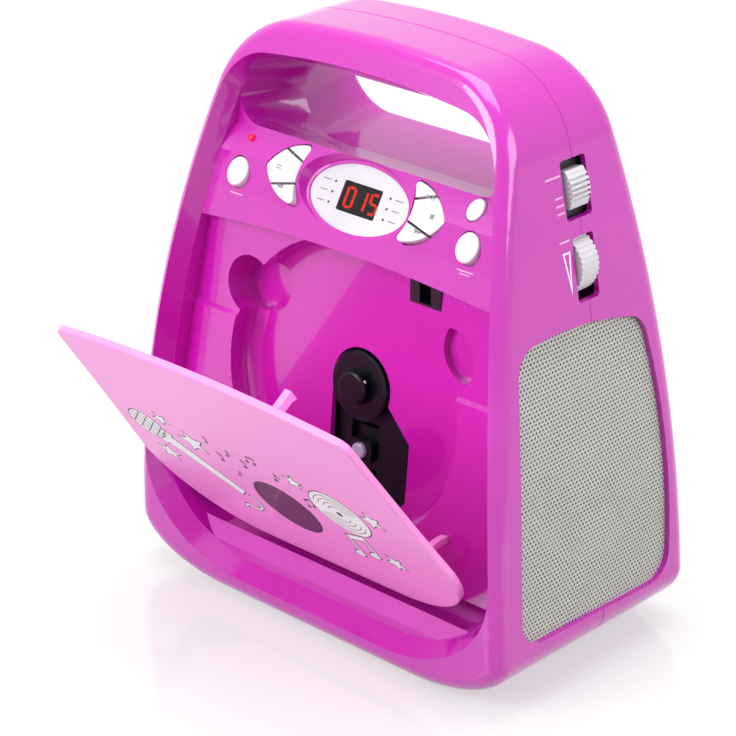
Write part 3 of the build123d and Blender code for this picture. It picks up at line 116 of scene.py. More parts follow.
def moulded(name, low, high, rough_low, rough_high, grain, height, shader_values=None):
    """Injection-moulded plastic: faint flow in its colour, and the grain that the tool leaves on it."""
    material, tree, shader, place = surface(name, {"IOR": 1.49, **(shader_values or {})})
    flow = add_node(
        tree, "ShaderNodeTexNoise", inputs={"Vector": place, "Scale": per_mm(FLOW_SIZE), "Detail": 2.0}
    )
    skin = add_node(
        tree, "ShaderNodeTexNoise", inputs={"Vector": place, "Scale": per_mm(grain), "Detail": 3.0}
    )
    vary_colour(tree, shader, flow.outputs[0], low, high)
    vary_roughness(tree, shader, skin.outputs[0], rough_low, rough_high)
    raise_bumps(tree, shader, skin.outputs[0], height)
    return material


def metal(name, low, high, rough_low, rough_high, grain, height, stretch=(1.0, 1.0, 1.0)):
    """Metal whose fine marks run the way that the part was drawn, turned or pressed."""
    material, tree, shader, place = surface(name, {"Metallic": 1.0})
    drawn = add_node(tree, "ShaderNodeMapping", inputs={"Vector": place, "Scale": stretch})
    marks = add_node(
        tree,
        "ShaderNodeTexNoise",
        inputs={"Vector": drawn.outputs["Vector"], "Scale": per_mm(grain), "Detail": 4.0},
    )
    vary_colour(tree, shader, marks.outputs[0], low, high)
    vary_roughness(tree, shader, marks.outputs[0], rough_low, rough_high)
    raise_bumps(tree, shader, marks.outputs[0], height)
    return material


# Gloss ABS in deep magenta: a polished tool leaves a faint orange peel about 3 mm across.
case_abs = moulded(
    "gloss_magenta_abs", "BE10A8", "C615AF", 0.2, 0.26, 3.0, 0.004, {"Coat Weight": 0.85}
)
# The fold-down door is a lighter pink ABS with a slightly finer peel.
door_abs = moulded("pink_door_abs", "FF93E1", "FF9AE4", 0.26, 0.32, 2.5, 0.003)
# Keys: white ABS with a smooth satin skin. The side knobs are a little greyer and duller.
key_abs = moulded("white_key_abs", "DCDBDD", "E4E3E5", 0.24, 0.32, 1.2, 0.003)
knob_abs = moulded("white_knob_abs", "CFCDD1", "DBD9DD", 0.3, 0.4, 0.8, 0.004)
# Black drive parts: fine spark-eroded grain, drawn 0.5 mm so that it shows. The hub is smoother.
drive_abs = moulded(
    "black_drive_abs", "060D11", "0C161B", 0.34, 0.46, 0.5, 0.012, {"Specular IOR Level": 0.3}
)
hub_abs = moulded(
    "black_hub_abs", "040B0F", "081217", 0.2, 0.3, 0.8, 0.004, {"Specular IOR Level": 0.3}
)
# Switch and socket housings: black ABS off a textured tool, with a soft, blurred highlight.
switch_abs = moulded("black_switch_abs", "08080A", "111113", 0.3, 0.42, 0.6, 0.008)
socket_abs = moulded("black_socket_abs", "101012", "19191B", 0.35, 0.5, 0.7, 0.008)
# The oval bezel is ABS with an aluminium flake in it, which gives it a grey sheen.
bezel_abs = moulded(
    "silver_bezel_abs",
    "B9B7BE",
    "CBC9D0",
    0.25,
    0.36,
    0.35,
    0.004,
    {"Metallic": 0.35, "Coat Weight": 0.4},
)
# Gears: natural nylon, ivory and slightly waxy.
gear_nylon = moulded("natural_nylon", "D9D4C4", "E6E2D4", 0.38, 0.5, 1.0, 0.004)
# Feet and isolators: black nitrile rubber, dull.
nitrile = moulded("nitrile_rubber", "141414", "1E1D1D", 0.7, 0.88, 0.6, 0.02)
# Speaker cones: pressed paper, fibrous and dull.
cone_paper = moulded("pressed_paper", "16161A", "26262A", 0.82, 0.95, 1.5, 0.06)
# Enamelled sheet of the grilles: pale warm grey, satin.
grille_enamel = moulded("grey_grille_enamel", "B9B9B4", "C4C4BF", 0.38, 0.5, 0.7, 0.006)
# Inks: screen print on the case, door and keys, flat and slightly raised.
white_ink = moulded("white_screen_ink", "F6F2F6", "FFFCFF", 0.45, 0.55, 0.4, 0.004)
pale_ink = moulded("pale_screen_ink", "E3A6DA", "EDB6E4", 0.45, 0.55, 0.4, 0.004)
black_ink = moulded("black_screen_ink", "1A1219", "241A22", 0.4, 0.52, 0.4, 0.004)
grey_ink = moulded("grey_screen_ink", "77757C", "8A888F", 0.45, 0.55, 0.4, 0.004)

# Rods, pins and screws: steel, drawn or turned, with a tight satin line that runs up and down.
bright_steel = metal("ground_steel", "B4B4B6", "C8C8CA", 0.2, 0.32, 0.3, 0.003, (1.0, 1.0, 0.1))
# Motor cans and speaker baskets: zinc-plated pressings, softly mottled.
zinc_steel = metal("zinc_plated_steel", "A2A4A6", "BEBFC0", 0.3, 0.45, 2.0, 0.004)
# Socket shell: nickel plate, warm and bright.
nickel = metal("nickel_plate", "C2BEB6", "D2CEC6", 0.14, 0.24, 1.0, 0.002)
# Transformer core: dark sheets stacked from front to back, so its lines run round it.
core_iron = metal("laminated_core_steel", "56585C", "74767A", 0.4, 0.55, 0.5, 0.03, (0.05, 1.0, 0.05))
# Winding: lacquered copper wire, with level turns one above another.
enamelled_copper = metal(
    "enamelled_copper_wire", "8A4320", "B5622E", 0.25, 0.38, 0.4, 0.05, (0.1, 0.1, 1.0)
)


def clear_part(name, low, high, alpha, values):
    """Clear or smoked acrylic: polished, with its tint in the sheet."""
    material, tree, shader, place = surface(name, {"IOR": 1.49, "Alpha": alpha, **values})
    haze = add_node(
        tree, "ShaderNodeTexNoise", inputs={"Vector": place, "Scale": per_mm(HAZE_SIZE), "Detail": 2.0}
    )
    vary_colour(tree, shader, haze.outputs[0], low, high)
    vary_roughness(tree, shader, haze.outputs[0], *CLEAR_ROUGHNESS)
    return material


# The display's filter is dark and half clear, the door's is grey and nearly solid.
smoked_acrylic = clear_part("smoked_display_acrylic", "0C0608", "120A0C", 0.45, {})
door_acrylic = clear_part("smoked_door_acrylic", "34352F", "44453F", 0.97, {"IOR": 1.3})
# Pickup lens: a coated moulding, pale blue and very bright.
lens_glass = clear_part("coated_lens_glass", "A9B6CE", "D4DBE8", 0.9, {"Coat Weight": 1.0})


def lit(name, code, glow, strength):
    """A lamp epoxy or lit segment: its own light, a little uneven as diffusers are."""
    material, tree, shader, place = surface(
        name, {"Emission Color": srgb(glow), "Emission Strength": strength, "Roughness": 0.25}
    )
    spread = add_node(
        tree, "ShaderNodeTexNoise", inputs={"Vector": place, "Scale": per_mm(DIFFUSER_SIZE), "Detail": 1.0}
    )
    vary_colour(tree, shader, spread.outputs[0], code, glow)
    return material


digit_glow = lit("lit_red_segment", "E01010", "FF2A18", 2.2)
lamp_epoxy = lit("red_lamp_epoxy", "C40A30", "FF1840", 0.35)


def circuit_board():
    """Glass-epoxy board under green lacquer, with tracks and pads showing through it as lighter lines."""
    material, tree, shader, place = surface("green_circuit_board", {"IOR": 1.5, "Roughness": 0.35})
    tracks = add_node(
        tree,
        "ShaderNodeTexBrick",
        {"offset": 0.35, "squash": 1.6},
        {
            "Vector": place,
            "Scale": TRACKS_PER_METRE,
            "Mortar Size": 0.035,
            "Color1": srgb("1C4E2A"),
            "Color2": srgb("1A4826"),
            "Mortar": srgb("3C7A44"),
        },
    )
    tree.links.new(tracks.outputs["Color"], shader.inputs["Base Color"])
    raise_bumps(tree, shader, tracks.outputs["Fac"], 0.03)
    return material


board_lacquer = circuit_board()

FINISHES = {
    case_abs: ("front_shell", "rear_shell", "battery_door"),
    door_abs: ("disc_door",),
    door_acrylic: ("door_window",),
    key_abs: (
        "left_lower_key",
        "left_middle_key",
        "left_upper_key",
        "right_lower_key",
        "right_middle_key",
        "right_upper_key",
        "left_round_key",
        "right_round_key",
        "small_round_key",
    ),
    knob_abs: ("function_slider", "volume_wheel"),
    drive_abs: ("drive_chassis", "optical_sled", "battery_tray"),
    hub_abs: ("turntable_hub",),
    switch_abs: (
        "lid_switch",
        "lid_switch_plunger",
        "selector_switch",
        "volume_control",
        "key_switches",
        "display_module",
    ),
    socket_abs: ("microphone_jacks", "audio_jack", "mains_inlet"),
    bezel_abs: ("display_bezel",),
    smoked_acrylic: ("display_window",),
    digit_glow: ("display_digits",),
    lamp_epoxy: ("power_lamp",),
    gear_nylon: ("sled_gear", "sled_pinion"),
    nitrile: ("rubber_feet", "rubber_isolators"),
    cone_paper: ("right_speaker_cone", "left_speaker_cone"),
    grille_enamel: ("right_grille", "left_grille"),
    bright_steel: ("hinge_pins", "guide_rods", "chuck_balls", "case_screws", "battery_springs"),
    zinc_steel: ("right_speaker_frame", "left_speaker_frame", "sled_motor", "spindle_motor"),
    nickel: ("data_socket",),
    core_iron: ("transformer_core",),
    enamelled_copper: ("transformer_coil",),
    lens_glass: ("pickup_lens",),
    board_lacquer: ("side_board", "key_board", "main_board"),
}
for finish, names in FINISHES.items():
    for node_name in names:
        slots = nodes[node_name].data.materials
        slots.clear()
        slots.append(finish)


# Printing and small raised detail


def link_piece(name, mesh, body, finish):
    """Puts a mesh in the scene as a piece that rides on a body."""
    piece = bpy.data.objects.new(name, mesh)
    bpy.context.scene.collection.objects.link(piece)
    mesh.materials.clear()
    mesh.materials.append(finish)
    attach(piece, body)
    return piece


class Face:
    """A flat working plane on the object, in millimetres: x across, y up it, z out of it."""

    def __init__(self, origin, across, out):
        self.origin = Vector(origin)
        self.across = Vector(across).normalized()
        self.out = Vector(out).normalized()
        self.up = self.out.cross(self.across)

    def at(self, x, y, z=0.0):
        return (self.origin + self.across * x + self.up * y + self.out * z) * MM


def leaning(forward, height, lean):
    """A plane this far forward and this high, facing the front and turned up by the lean in degrees."""
    tilt = math.radians(lean)
    return Face((0, -forward, height), (1, 0, 0), (0, -math.cos(tilt), math.sin(tilt)))


panel_face = leaning(forward=36.0, height=188.0, lean=30.7)
door_face = leaning(forward=51.4, height=41.9, lean=-35.9)
right_face = Face(origin=(110.0, 0, 0), across=(0, 1, 0), out=(1, 0, 0))
# How far the printed fronts stand out of those planes
DOOR_FRONT = 6.4
KEY_FRONT = 1.2
BEZEL_FRONT = -4.0
# Printing on a curved node is dropped onto it from this far out, and no corner of a dark line
# reaches further than its width divided by SHARPEST_CORNER
PROBE_HEIGHT = 30.0
SHARPEST_CORNER = 0.45


def printed(name, shapes, face, height, body, finish, target=None, lift=0.0):
    """Thin raised printing: flat outlines at a height over a plane, or laid on a curved node below it."""
    made = bmesh.new()
    for shape in shapes:
        tops, lows = [], []
        for x, y in shape:
            level = height
            if target:
                start = face.at(x, y, PROBE_HEIGHT)
                hit, spot, _, _ = nodes[target].ray_cast(start, -face.out)
                if not hit:
                    raise ValueError(f"{name}: nothing under the printing at {x}, {y}")
                level = PROBE_HEIGHT - (spot - start).length / MM
            tops.append(made.verts.new(face.at(x, y, level + lift + PRINT_THICKNESS)))
            lows.append(made.verts.new(face.at(x, y, level + lift - PRINT_SINK)))
        made.faces.new(tops)
        made.faces.new(list(reversed(lows)))
        for i in range(len(shape)):
            j = (i + 1) % len(shape)
            made.faces.new((tops[i], lows[i], lows[j], tops[j]))
    bmesh.ops.recalc_face_normals(made, faces=made.faces)
    bmesh.ops.triangulate(made, faces=made.faces)
    mesh = bpy.data.meshes.new(name)
    made.to_mesh(mesh)
    made.free()
    return link_piece(name, mesh, body, finish)


def print_on_door(name, shapes, ink, layer=0):
    """Printing on the door, whose layers lie one over another."""
    lift = layer * PRINT_THICKNESS
    printed(name, shapes, door_face, DOOR_FRONT, "door", ink, lift=lift)


def print_on_case(name, shapes, face, ink, layer=0):
    """Printing on the case, laid on the front shell."""
    lift = layer * PRINT_THICKNESS
    printed(name, shapes, face, 0.0, "case", ink, target="front_shell", lift=lift)


def placed(shape, x, y, turn=0.0, size=1.0):
    """The outline sized, turned by degrees and moved."""
    angle = math.radians(turn)
    c, s = math.cos(angle) * size, math.sin(angle) * size
    return [(x + px * c - py * s, y + px * s + py * c) for px, py in shape]


def oval(x, y, rx, ry=None, turn=0.0, steps=28):
    ry = rx if ry is None else ry
    spots = [math.radians(360.0 * i / steps) for i in range(steps)]
    return placed([(rx * math.cos(a), ry * math.sin(a)) for a in spots], x, y, turn)


def bar(x, y, width, height, turn=0.0):
    w, h = width / 2, height / 2
    return placed([(-w, -h), (w, -h), (w, h), (-w, h)], x, y, turn)


ARC_STEPS = 20
STAR_POINTS = 5
STAR_WAIST = 0.45


def arc_band(x, y, inner, outer, start, sweep):
    """A band between two radii, from one angle round by a sweep."""
    angles = [math.radians(start + sweep * i / ARC_STEPS) for i in range(ARC_STEPS + 1)]
    far_side = [(x + outer * math.cos(a), y + outer * math.sin(a)) for a in angles]
    near_side = [(x + inner * math.cos(a), y + inner * math.sin(a)) for a in reversed(angles)]
    return far_side + near_side


def star(x, y, size, turn):
    corners = []
    for i in range(STAR_POINTS * 2):
        reach = size if i % 2 == 0 else size * STAR_WAIST
        angle = math.radians(90 + 180 * i / STAR_POINTS)
        corners.append((reach * math.cos(angle), reach * math.sin(angle)))
    return placed(corners, x, y, turn)


def grown(shape, amount):
    """The outline moved outwards by an amount, for the dark line round a white motif."""
    area = sum(a[0] * b[1] - b[0] * a[1] for a, b in zip(shape, shape[1:] + shape[:1]))
    side = 1 if area > 0 else -1
    moved = []
    for i, (x, y) in enumerate(shape):
        before = Vector(shape[i - 1])
        after = Vector(shape[(i + 1) % len(shape)])
        here = Vector((x, y))
        first = (here - before).normalized()
        second = (after - here).normalized()
        out = Vector((first.y + second.y, -first.x - second.x)) * side
        out.normalize()
        fit = max(SHARPEST_CORNER, abs(out.dot(Vector((first.y, -first.x)))))
        moved.append((x + out.x * amount / fit, y + out.y * amount / fit))
    return moved


# Door artwork: a hand microphone and a record among stars and notes, white with a dark line

MICROPHONE = (-57.0, 51.0, 48.6, 1.25)  # across, up, turn, size
HEAD_HEIGHT = 9.0
HEAD_RADIUS = 7.6
MICROPHONE_GRIP = [(-3.4, 0.0), (-2.4, -30.0), (2.4, -30.0), (3.4, 0.0)]
MICROPHONE_COLLAR = [(-5.2, 0.0), (5.2, 0.0), (5.2, 3.0), (-5.2, 3.0)]
MESH_RADIUS = 7.0
MESH_STEPS = (-4.5, -1.5, 1.5, 4.5)
RECORD_CENTRE = (39.0, 50.0)
RECORD_RADIUS = 14.5
SPINDLE_RADIUS = 1.6
GROOVES = (5.0, 7.5, 10.0, 12.2)
FINE_LINE = 0.35
DOOR_LINE = 0.55
NOTE_STEM = [(1.4, 0.0), (2.1, 0.0), (2.1, 9.0), (1.4, 9.0)]
NOTE_FLAG = [(2.1, 9.0), (2.1, 6.8), (4.6, 4.6), (4.2, 3.0), (5.4, 5.0), (3.4, 7.4)]
PAIR_BEAM = [(1.4, 7.2), (8.8, 8.8), (8.8, 10.6), (1.4, 9.0)]
PAIR_STEM = [(8.1, 1.6), (8.8, 1.6), (8.8, 9.0), (8.1, 9.0)]
# Each star, note and pair of notes: across, up, then size and turn, or turn and size
STARS = (
    (-38.0, 59.0, 7.5, 10.0),
    (-66.0, 37.0, 6.0, -14.0),
    (-50.0, 70.0, 4.2, 24.0),
    (60.0, 57.0, 5.6, 18.0),
    (21.0, 63.0, 4.6, -8.0),
    (54.0, 22.0, 5.2, 30.0),
)
WHITE_PAIR = (31.0, 16.0, 8.0, 1.6)
NOTES = (
    (-24.0, 54.0, 12.0, 0.7),
    (-17.0, 61.0, -8.0, 0.6),
    (-26.0, 66.0, 6.0, 0.55),
    (-9.0, 57.0, 10.0, 0.65),
    (-20.0, 45.0, -14.0, 0.5),
    (8.0, 57.0, -6.0, 0.7),
)
NOTE_PAIRS = ((-4.0, 64.0, -12.0, 0.6), (19.0, 44.0, 14.0, 0.6))


def note_head(x, y):
    return oval(x, y, 1.9, 1.4, 20.0, 14)


def note(x, y, turn, size):
    parts = [NOTE_STEM, NOTE_FLAG, note_head(0.4, 0.0)]
    return [placed(part, x, y, turn, size) for part in parts]


def note_pair(x, y, turn, size):
    parts = [NOTE_STEM, PAIR_STEM, PAIR_BEAM, note_head(0.4, 0.0), note_head(7.1, 1.6)]
    return [placed(part, x, y, turn, size) for part in parts]


microphone_shapes = (oval(0.0, HEAD_HEIGHT, HEAD_RADIUS, steps=32), MICROPHONE_COLLAR, MICROPHONE_GRIP)
white_motifs = [placed(shape, *MICROPHONE) for shape in microphone_shapes]
# The microphone's lead is two arcs, one turning back on the other.
white_motifs.append(arc_band(-29.0, 20.5, 5.6, 6.8, 60.0, -150.0))
white_motifs.append(arc_band(-32.0, 11.5, 3.0, 4.2, 30.0, 150.0))
white_motifs.append(oval(*RECORD_CENTRE, RECORD_RADIUS, steps=44))
white_motifs += [star(*spot) for spot in STARS]
white_motifs += note_pair(*WHITE_PAIR)
print_on_door("door_art_outline", [grown(shape, DOOR_LINE) for shape in white_motifs], black_ink)
print_on_door("door_art_white", white_motifs, white_ink, layer=1)

chords = [2 * math.sqrt(MESH_RADIUS**2 - step**2) for step in MESH_STEPS]
mesh_lines = [bar(0.0, HEAD_HEIGHT + step, chord, FINE_LINE) for step, chord in zip(MESH_STEPS, chords)]
mesh_lines += [bar(step, HEAD_HEIGHT, FINE_LINE, chord) for step, chord in zip(MESH_STEPS, chords)]
dark_marks = [placed(line, *MICROPHONE) for line in mesh_lines]
dark_marks.append(oval(*RECORD_CENTRE, SPINDLE_RADIUS, steps=16))
for groove in GROOVES:
    for start in (20.0, 200.0):
        dark_marks.append(arc_band(*RECORD_CENTRE, groove, groove + FINE_LINE, start, 140.0))
print_on_door("door_art_dark_lines", dark_marks, black_ink, layer=2)

note_marks = []
for spot in NOTES:
    note_marks += note(*spot)
for spot in NOTE_PAIRS:
    note_marks += note_pair(*spot)
print_on_door("door_art_notes", note_marks, black_ink)

# Icons on the six arc keys: skip back, play and pause, stop, skip on, and plain strokes on the other two


def triangle(x, y, size, turn):
    return placed([(-0.5, -0.6), (0.65, 0.0), (-0.5, 0.6)], x, y, turn, size)


KEY_ICONS = {
    "left_upper_key": [bar(-37.0, 7.2, 2.2, 0.5, 10.0), bar(-37.2, 8.2, 1.6, 0.5, 10.0)],
    "left_middle_key": [bar(-41.5, 1.2, 2.8, 0.5), bar(-41.5, 0.1, 2.8, 0.5)],
    "left_lower_key": [triangle(-38.2, -6.6, 1.8, 180.0), triangle(-36.6, -6.6, 1.8, 180.0)],
    "right_upper_key": [
        triangle(36.4, 7.4, 1.8, 0.0),
        bar(38.4, 7.4, 0.5, 2.0),
        bar(39.4, 7.4, 0.5, 2.0),
    ],
    "right_middle_key": [bar(41.5, 0.6, 1.9, 1.9)],
    "right_lower_key": [triangle(36.6, -6.6, 1.8, 0.0), triangle(38.2, -6.6, 1.8, 0.0)],
}
for key_name, icon in KEY_ICONS.items():
    icon_name, key_body = key_name.replace("_key", "_icon"), key_name + "_body"
    printed(icon_name, icon, panel_face, KEY_FRONT, key_body, grey_ink)

# Small printed marks under the round keys
panel_marks = [
    bar(-62.3, -15.0, 7.0, 0.55),
    bar(62.3, -15.0, 8.0, 0.55),
    bar(62.3, -16.2, 5.0, 0.5),
]
print_on_case("panel_marks", panel_marks, panel_face, pale_ink)

# The slider's ticks and the volume wedge on the right side, white with its centre in the case's colour
side_marks = [
    bar(-10.6, 183.2, 6.0, 0.8),
    bar(-10.6, 194.0, 4.5, 0.7),
    bar(-10.6, 197.0, 4.5, 0.7),
    bar(-10.6, 200.0, 4.5, 0.7),
    bar(-12.6, 208.0, 9.0, 0.8),
]
wedge = [(-9.4, 162.0), (-8.2, 179.0), (-12.6, 179.0)]
wedge_centre = [(-9.75, 167.5), (-9.0, 178.3), (-11.7, 178.3)]
print_on_case("side_marks", side_marks, right_face, pale_ink)
print_on_case("volume_wedge", [wedge], right_face, white_ink)
print_on_case("volume_wedge_centre", [wedge_centre], right_face, case_abs, layer=1)

# Small mode marks on the bezel, three each side of the display window: a dot, and a stroke beside it
MODE_LEVELS = (2.6, -1.8, -6.2)
mode_dots = [oval(x, level, 0.55, steps=12) for x in (-14.8, 14.8) for level in MODE_LEVELS]
mode_strokes = [bar(x, level, 4.0, 0.5) for x in (-19.4, 19.4) for level in MODE_LEVELS]
printed("mode_lights", mode_dots, panel_face, BEZEL_FRONT, "case", black_ink)
printed("mode_marks", mode_strokes, panel_face, BEZEL_FRONT, "case", grey_ink)

# Perforated grilles: one tile of sheet with its hole, repeated in staggered rows

# In millimetres
HOLE_PITCH = 2.0
HOLE_RADIUS = 0.6
SHEET = 1.0
MERGE_DISTANCE = 0.02
# The distance between rows, as a share of the pitch
ROW_STEP = math.sqrt(3) / 2
TILE_SIDES = 6
BORE_SIDES = 12
SPARE_TILES = 3
# In metres: the longest ray, the heights at which a plate's bow is read, and where those rays start
RAY_LENGTH = 1.0
ARC_HEIGHTS = (0.045, 0.088, 0.130)
RAY_START = 0.2


def ring(made, level, radius, sides, start):
    """A ring of corners parallel to the side plane, at a level across the sheet."""
    angles = [math.radians(start + 360 / sides * i) for i in range(sides)]
    return [
        made.verts.new(Vector((level, radius * math.cos(a), radius * math.sin(a))) * MM) for a in angles
    ]


def hole_tile():
    """Hexagon of sheet round one hole, in the side plane; its outer edges join the next tile's."""
    made = bmesh.new()
    corner = HOLE_PITCH / math.sqrt(3)
    rings = {}
    for level in (-SHEET / 2, SHEET / 2):
        edge = ring(made, level, corner, TILE_SIDES, 30)
        rings[level] = (edge, ring(made, level, HOLE_RADIUS, BORE_SIDES, 0))
    for level, (edge, bore) in rings.items():
        for i in range(TILE_SIDES):
            here, there = edge[i], edge[(i + 1) % TILE_SIDES]
            first, middle, last = (bore[(2 * i + k) % BORE_SIDES] for k in (1, 2, 3))
            for face in ((here, middle, first), (here, there, middle), (there, last, middle)):
                made.faces.new(face if level > 0 else tuple(reversed(face)))
    low, high = rings[-SHEET / 2][1], rings[SHEET / 2][1]
    for i in range(BORE_SIDES):
        j = (i + 1) % BORE_SIDES
        made.faces.new((high[j], high[i], low[i], low[j]))
    mesh = bpy.data.meshes.new("hole_tile")
    made.to_mesh(mesh)
    made.free()
    tile = bpy.data.objects.new("hole_tile", mesh)
    bpy.context.scene.collection.objects.link(tile)
    return tile


def circle_through(points):
    """Centre and radius of the circle through three points."""
    (ax, ay), (bx, by), (cx, cy) = points
    d = 2 * (ax * (by - cy) + bx * (cy - ay) + cx * (ay - by))
    a2, b2, c2 = ax * ax + ay * ay, bx * bx + by * by, cx * cx + cy * cy
    x = (a2 * (by - cy) + b2 * (cy - ay) + c2 * (ay - by)) / d
    y = (a2 * (cx - bx) + b2 * (ax - cx) + c2 * (bx - ax)) / d
    return x, y, math.hypot(ax - x, ay - y)


MATH = "ShaderNodeMath"
ADD = {"operation": "ADD"}
SUBTRACT = {"operation": "SUBTRACT"}
MULTIPLY = {"operation": "MULTIPLY"}
DIVIDE = {"operation": "DIVIDE"}
ROUND = {"operation": "ROUND"}
REMAINDER = {"operation": "FLOORED_MODULO"}
ROOT = {"operation": "SQRT"}
LARGER = {"operation": "MAXIMUM"}
SHEET_INPUTS = {
    "Geometry": "NodeSocketGeometry",
    "Tile": "NodeSocketObject",
    "Columns": "NodeSocketInt",
    "Rows": "NodeSocketInt",
    "Pitch": "NodeSocketFloat",
    "Side": "NodeSocketFloat",
    "Centre": "NodeSocketVector",
    "Arc Radius": "NodeSocketFloat",
    "Arc Depth": "NodeSocketFloat",
    "Arc Height": "NodeSocketFloat",
    "Finish": "NodeSocketMaterial",
}


def perforated_tree():
    """Staggered rows of tiles over a plate, kept where a ray finds it and then bowed to its arc."""
    tree = bpy.data.node_groups.new("perforated_sheet", "GeometryNodeTree")
    tree.is_modifier = True
    for label, kind in SHEET_INPUTS.items():
        tree.interface.new_socket(label, in_out="INPUT", socket_type=kind)
    tree.interface.new_socket("Geometry", in_out="OUTPUT", socket_type="NodeSocketGeometry")
    given = tree.nodes.new("NodeGroupInput").outputs
    result = tree.nodes.new("NodeGroupOutput")
    position = add_node(tree, "GeometryNodeInputPosition").outputs[0]
    here = add_node(tree, "ShaderNodeSeparateXYZ", inputs={0: position}).outputs
    middle = add_node(tree, "ShaderNodeSeparateXYZ", inputs={0: given["Centre"]}).outputs

    # A grid of points, one for each tile
    row_pitch = add_node(tree, MATH, MULTIPLY, {0: given["Pitch"], 1: ROW_STEP}).outputs[0]
    column_steps = add_node(tree, MATH, SUBTRACT, {0: given["Columns"], 1: 1.0}).outputs[0]
    across = add_node(tree, MATH, MULTIPLY, {0: column_steps, 1: given["Pitch"]}).outputs[0]
    row_steps = add_node(tree, MATH, SUBTRACT, {0: given["Rows"], 1: 1.0}).outputs[0]
    up = add_node(tree, MATH, MULTIPLY, {0: row_steps, 1: row_pitch}).outputs[0]
    grid = add_node(
        tree,
        "GeometryNodeMeshGrid",
        inputs={
            "Size X": across,
            "Size Y": up,
            "Vertices X": given["Columns"],
            "Vertices Y": given["Rows"],
        },
    )

    # The grid stood up in the side plane, with every second row moved along by half a pitch
    half_up = add_node(tree, MATH, DIVIDE, {0: up, 1: 2.0}).outputs[0]
    over_foot = add_node(tree, MATH, ADD, {0: here["Y"], 1: half_up}).outputs[0]
    rows_up = add_node(tree, MATH, DIVIDE, {0: over_foot, 1: row_pitch}).outputs[0]
    row = add_node(tree, MATH, ROUND, {0: rows_up}).outputs[0]
    odd_row = add_node(tree, MATH, REMAINDER, {0: row, 1: 2.0}).outputs[0]
    half_pitch = add_node(tree, MATH, DIVIDE, {0: given["Pitch"], 1: 2.0}).outputs[0]
    shift = add_node(tree, MATH, MULTIPLY, {0: odd_row, 1: half_pitch}).outputs[0]
    shifted = add_node(tree, MATH, ADD, {0: here["X"], 1: shift}).outputs[0]
    spot_y = add_node(tree, MATH, ADD, {0: shifted, 1: middle["Y"]}).outputs[0]
    spot_z = add_node(tree, MATH, ADD, {0: here["Y"], 1: middle["Z"]}).outputs[0]
    spot = add_node(tree, "ShaderNodeCombineXYZ", inputs={"Y": spot_y, "Z": spot_z})
    spread = add_node(
        tree,
        "GeometryNodeSetPosition",
        inputs={"Geometry": grid.outputs["Mesh"], "Position": spot.outputs[0]},
    )

    # Points that no plate lies behind are left out
    start = add_node(
        tree, "ShaderNodeCombineXYZ", inputs={"X": given["Side"], "Y": here["Y"], "Z": here["Z"]}
    )
    inwards = add_node(tree, MATH, MULTIPLY, {0: given["Side"], 1: -1.0}).outputs[0]
    aim = add_node(tree, "ShaderNodeCombineXYZ", inputs={"X": inwards})
    ray = add_node(
        tree,
        "GeometryNodeRaycast",
        inputs={
            "Target Geometry": given["Geometry"],
            "Source Position": start.outputs[0],
            "Ray Direction": aim.outputs[0],
            "Ray Length": RAY_LENGTH,
        },
    )
    missed = add_node(tree, "FunctionNodeBooleanMath", {"operation": "NOT"}, {0: ray.outputs["Is Hit"]})
    kept = add_node(
        tree,
        "GeometryNodeDeleteGeometry",
        {"domain": "POINT"},
        {"Geometry": spread.outputs[0], "Selection": missed.outputs[0]},
    )

    # One tile on each point, joined along its edges
    shape = add_node(tree, "GeometryNodeObjectInfo", inputs={"Object": given["Tile"]})
    tiles = add_node(
        tree,
        "GeometryNodeInstanceOnPoints",
        inputs={"Points": kept.outputs[0], "Instance": shape.outputs["Geometry"]},
    )
    real = add_node(tree, "GeometryNodeRealizeInstances", inputs={"Geometry": tiles.outputs[0]})
    joined = add_node(
        tree,
        "GeometryNodeMergeByDistance",
        inputs={"Geometry": real.outputs[0], "Distance": MERGE_DISTANCE * MM},
    )

    # The flat sheet bowed to the plate's arc
    rise = add_node(tree, MATH, SUBTRACT, {0: here["Z"], 1: given["Arc Height"]}).outputs[0]
    rise_squared = add_node(tree, MATH, MULTIPLY, {0: rise, 1: rise}).outputs[0]
    radius_squared = add_node(
        tree, MATH, MULTIPLY, {0: given["Arc Radius"], 1: given["Arc Radius"]}
    ).outputs[0]
    reach_squared = add_node(tree, MATH, SUBTRACT, {0: radius_squared, 1: rise_squared}).outputs[0]
    reach = add_node(tree, MATH, ROOT, {0: reach_squared}).outputs[0]
    depth = add_node(tree, MATH, ADD, {0: given["Arc Depth"], 1: reach}).outputs[0]
    bow = add_node(tree, MATH, MULTIPLY, {0: depth, 1: given["Side"]}).outputs[0]
    bowed_x = add_node(tree, MATH, ADD, {0: bow, 1: here["X"]}).outputs[0]
    bowed = add_node(tree, "ShaderNodeCombineXYZ", inputs={"X": bowed_x, "Y": here["Y"], "Z": here["Z"]})
    laid = add_node(
        tree,
        "GeometryNodeSetPosition",
        inputs={"Geometry": joined.outputs[0], "Position": bowed.outputs[0]},
    )
    finished = add_node(
        tree,
        "GeometryNodeSetMaterial",
        inputs={"Geometry": laid.outputs[0], "Material": given["Finish"]},
    )
    tree.links.new(finished.outputs[0], result.inputs[0])
    return tree


def socket_id(tree, label):
    """The identifier of a tree's named input."""
    for item in tree.interface.items_tree:
        if item.item_type == "SOCKET" and item.in_out == "INPUT" and item.name == label:
            return item.identifier
    raise KeyError(label)


def plain_mesh(source, name):
    """The evaluated shape as a plain mesh, with the object that made it removed."""
    bpy.context.view_layer.update()
    graph = bpy.context.evaluated_depsgraph_get()
    mesh = bpy.data.meshes.new_from_object(source.evaluated_get(graph))
    mesh.name = name
    bpy.data.objects.remove(source)
    return mesh


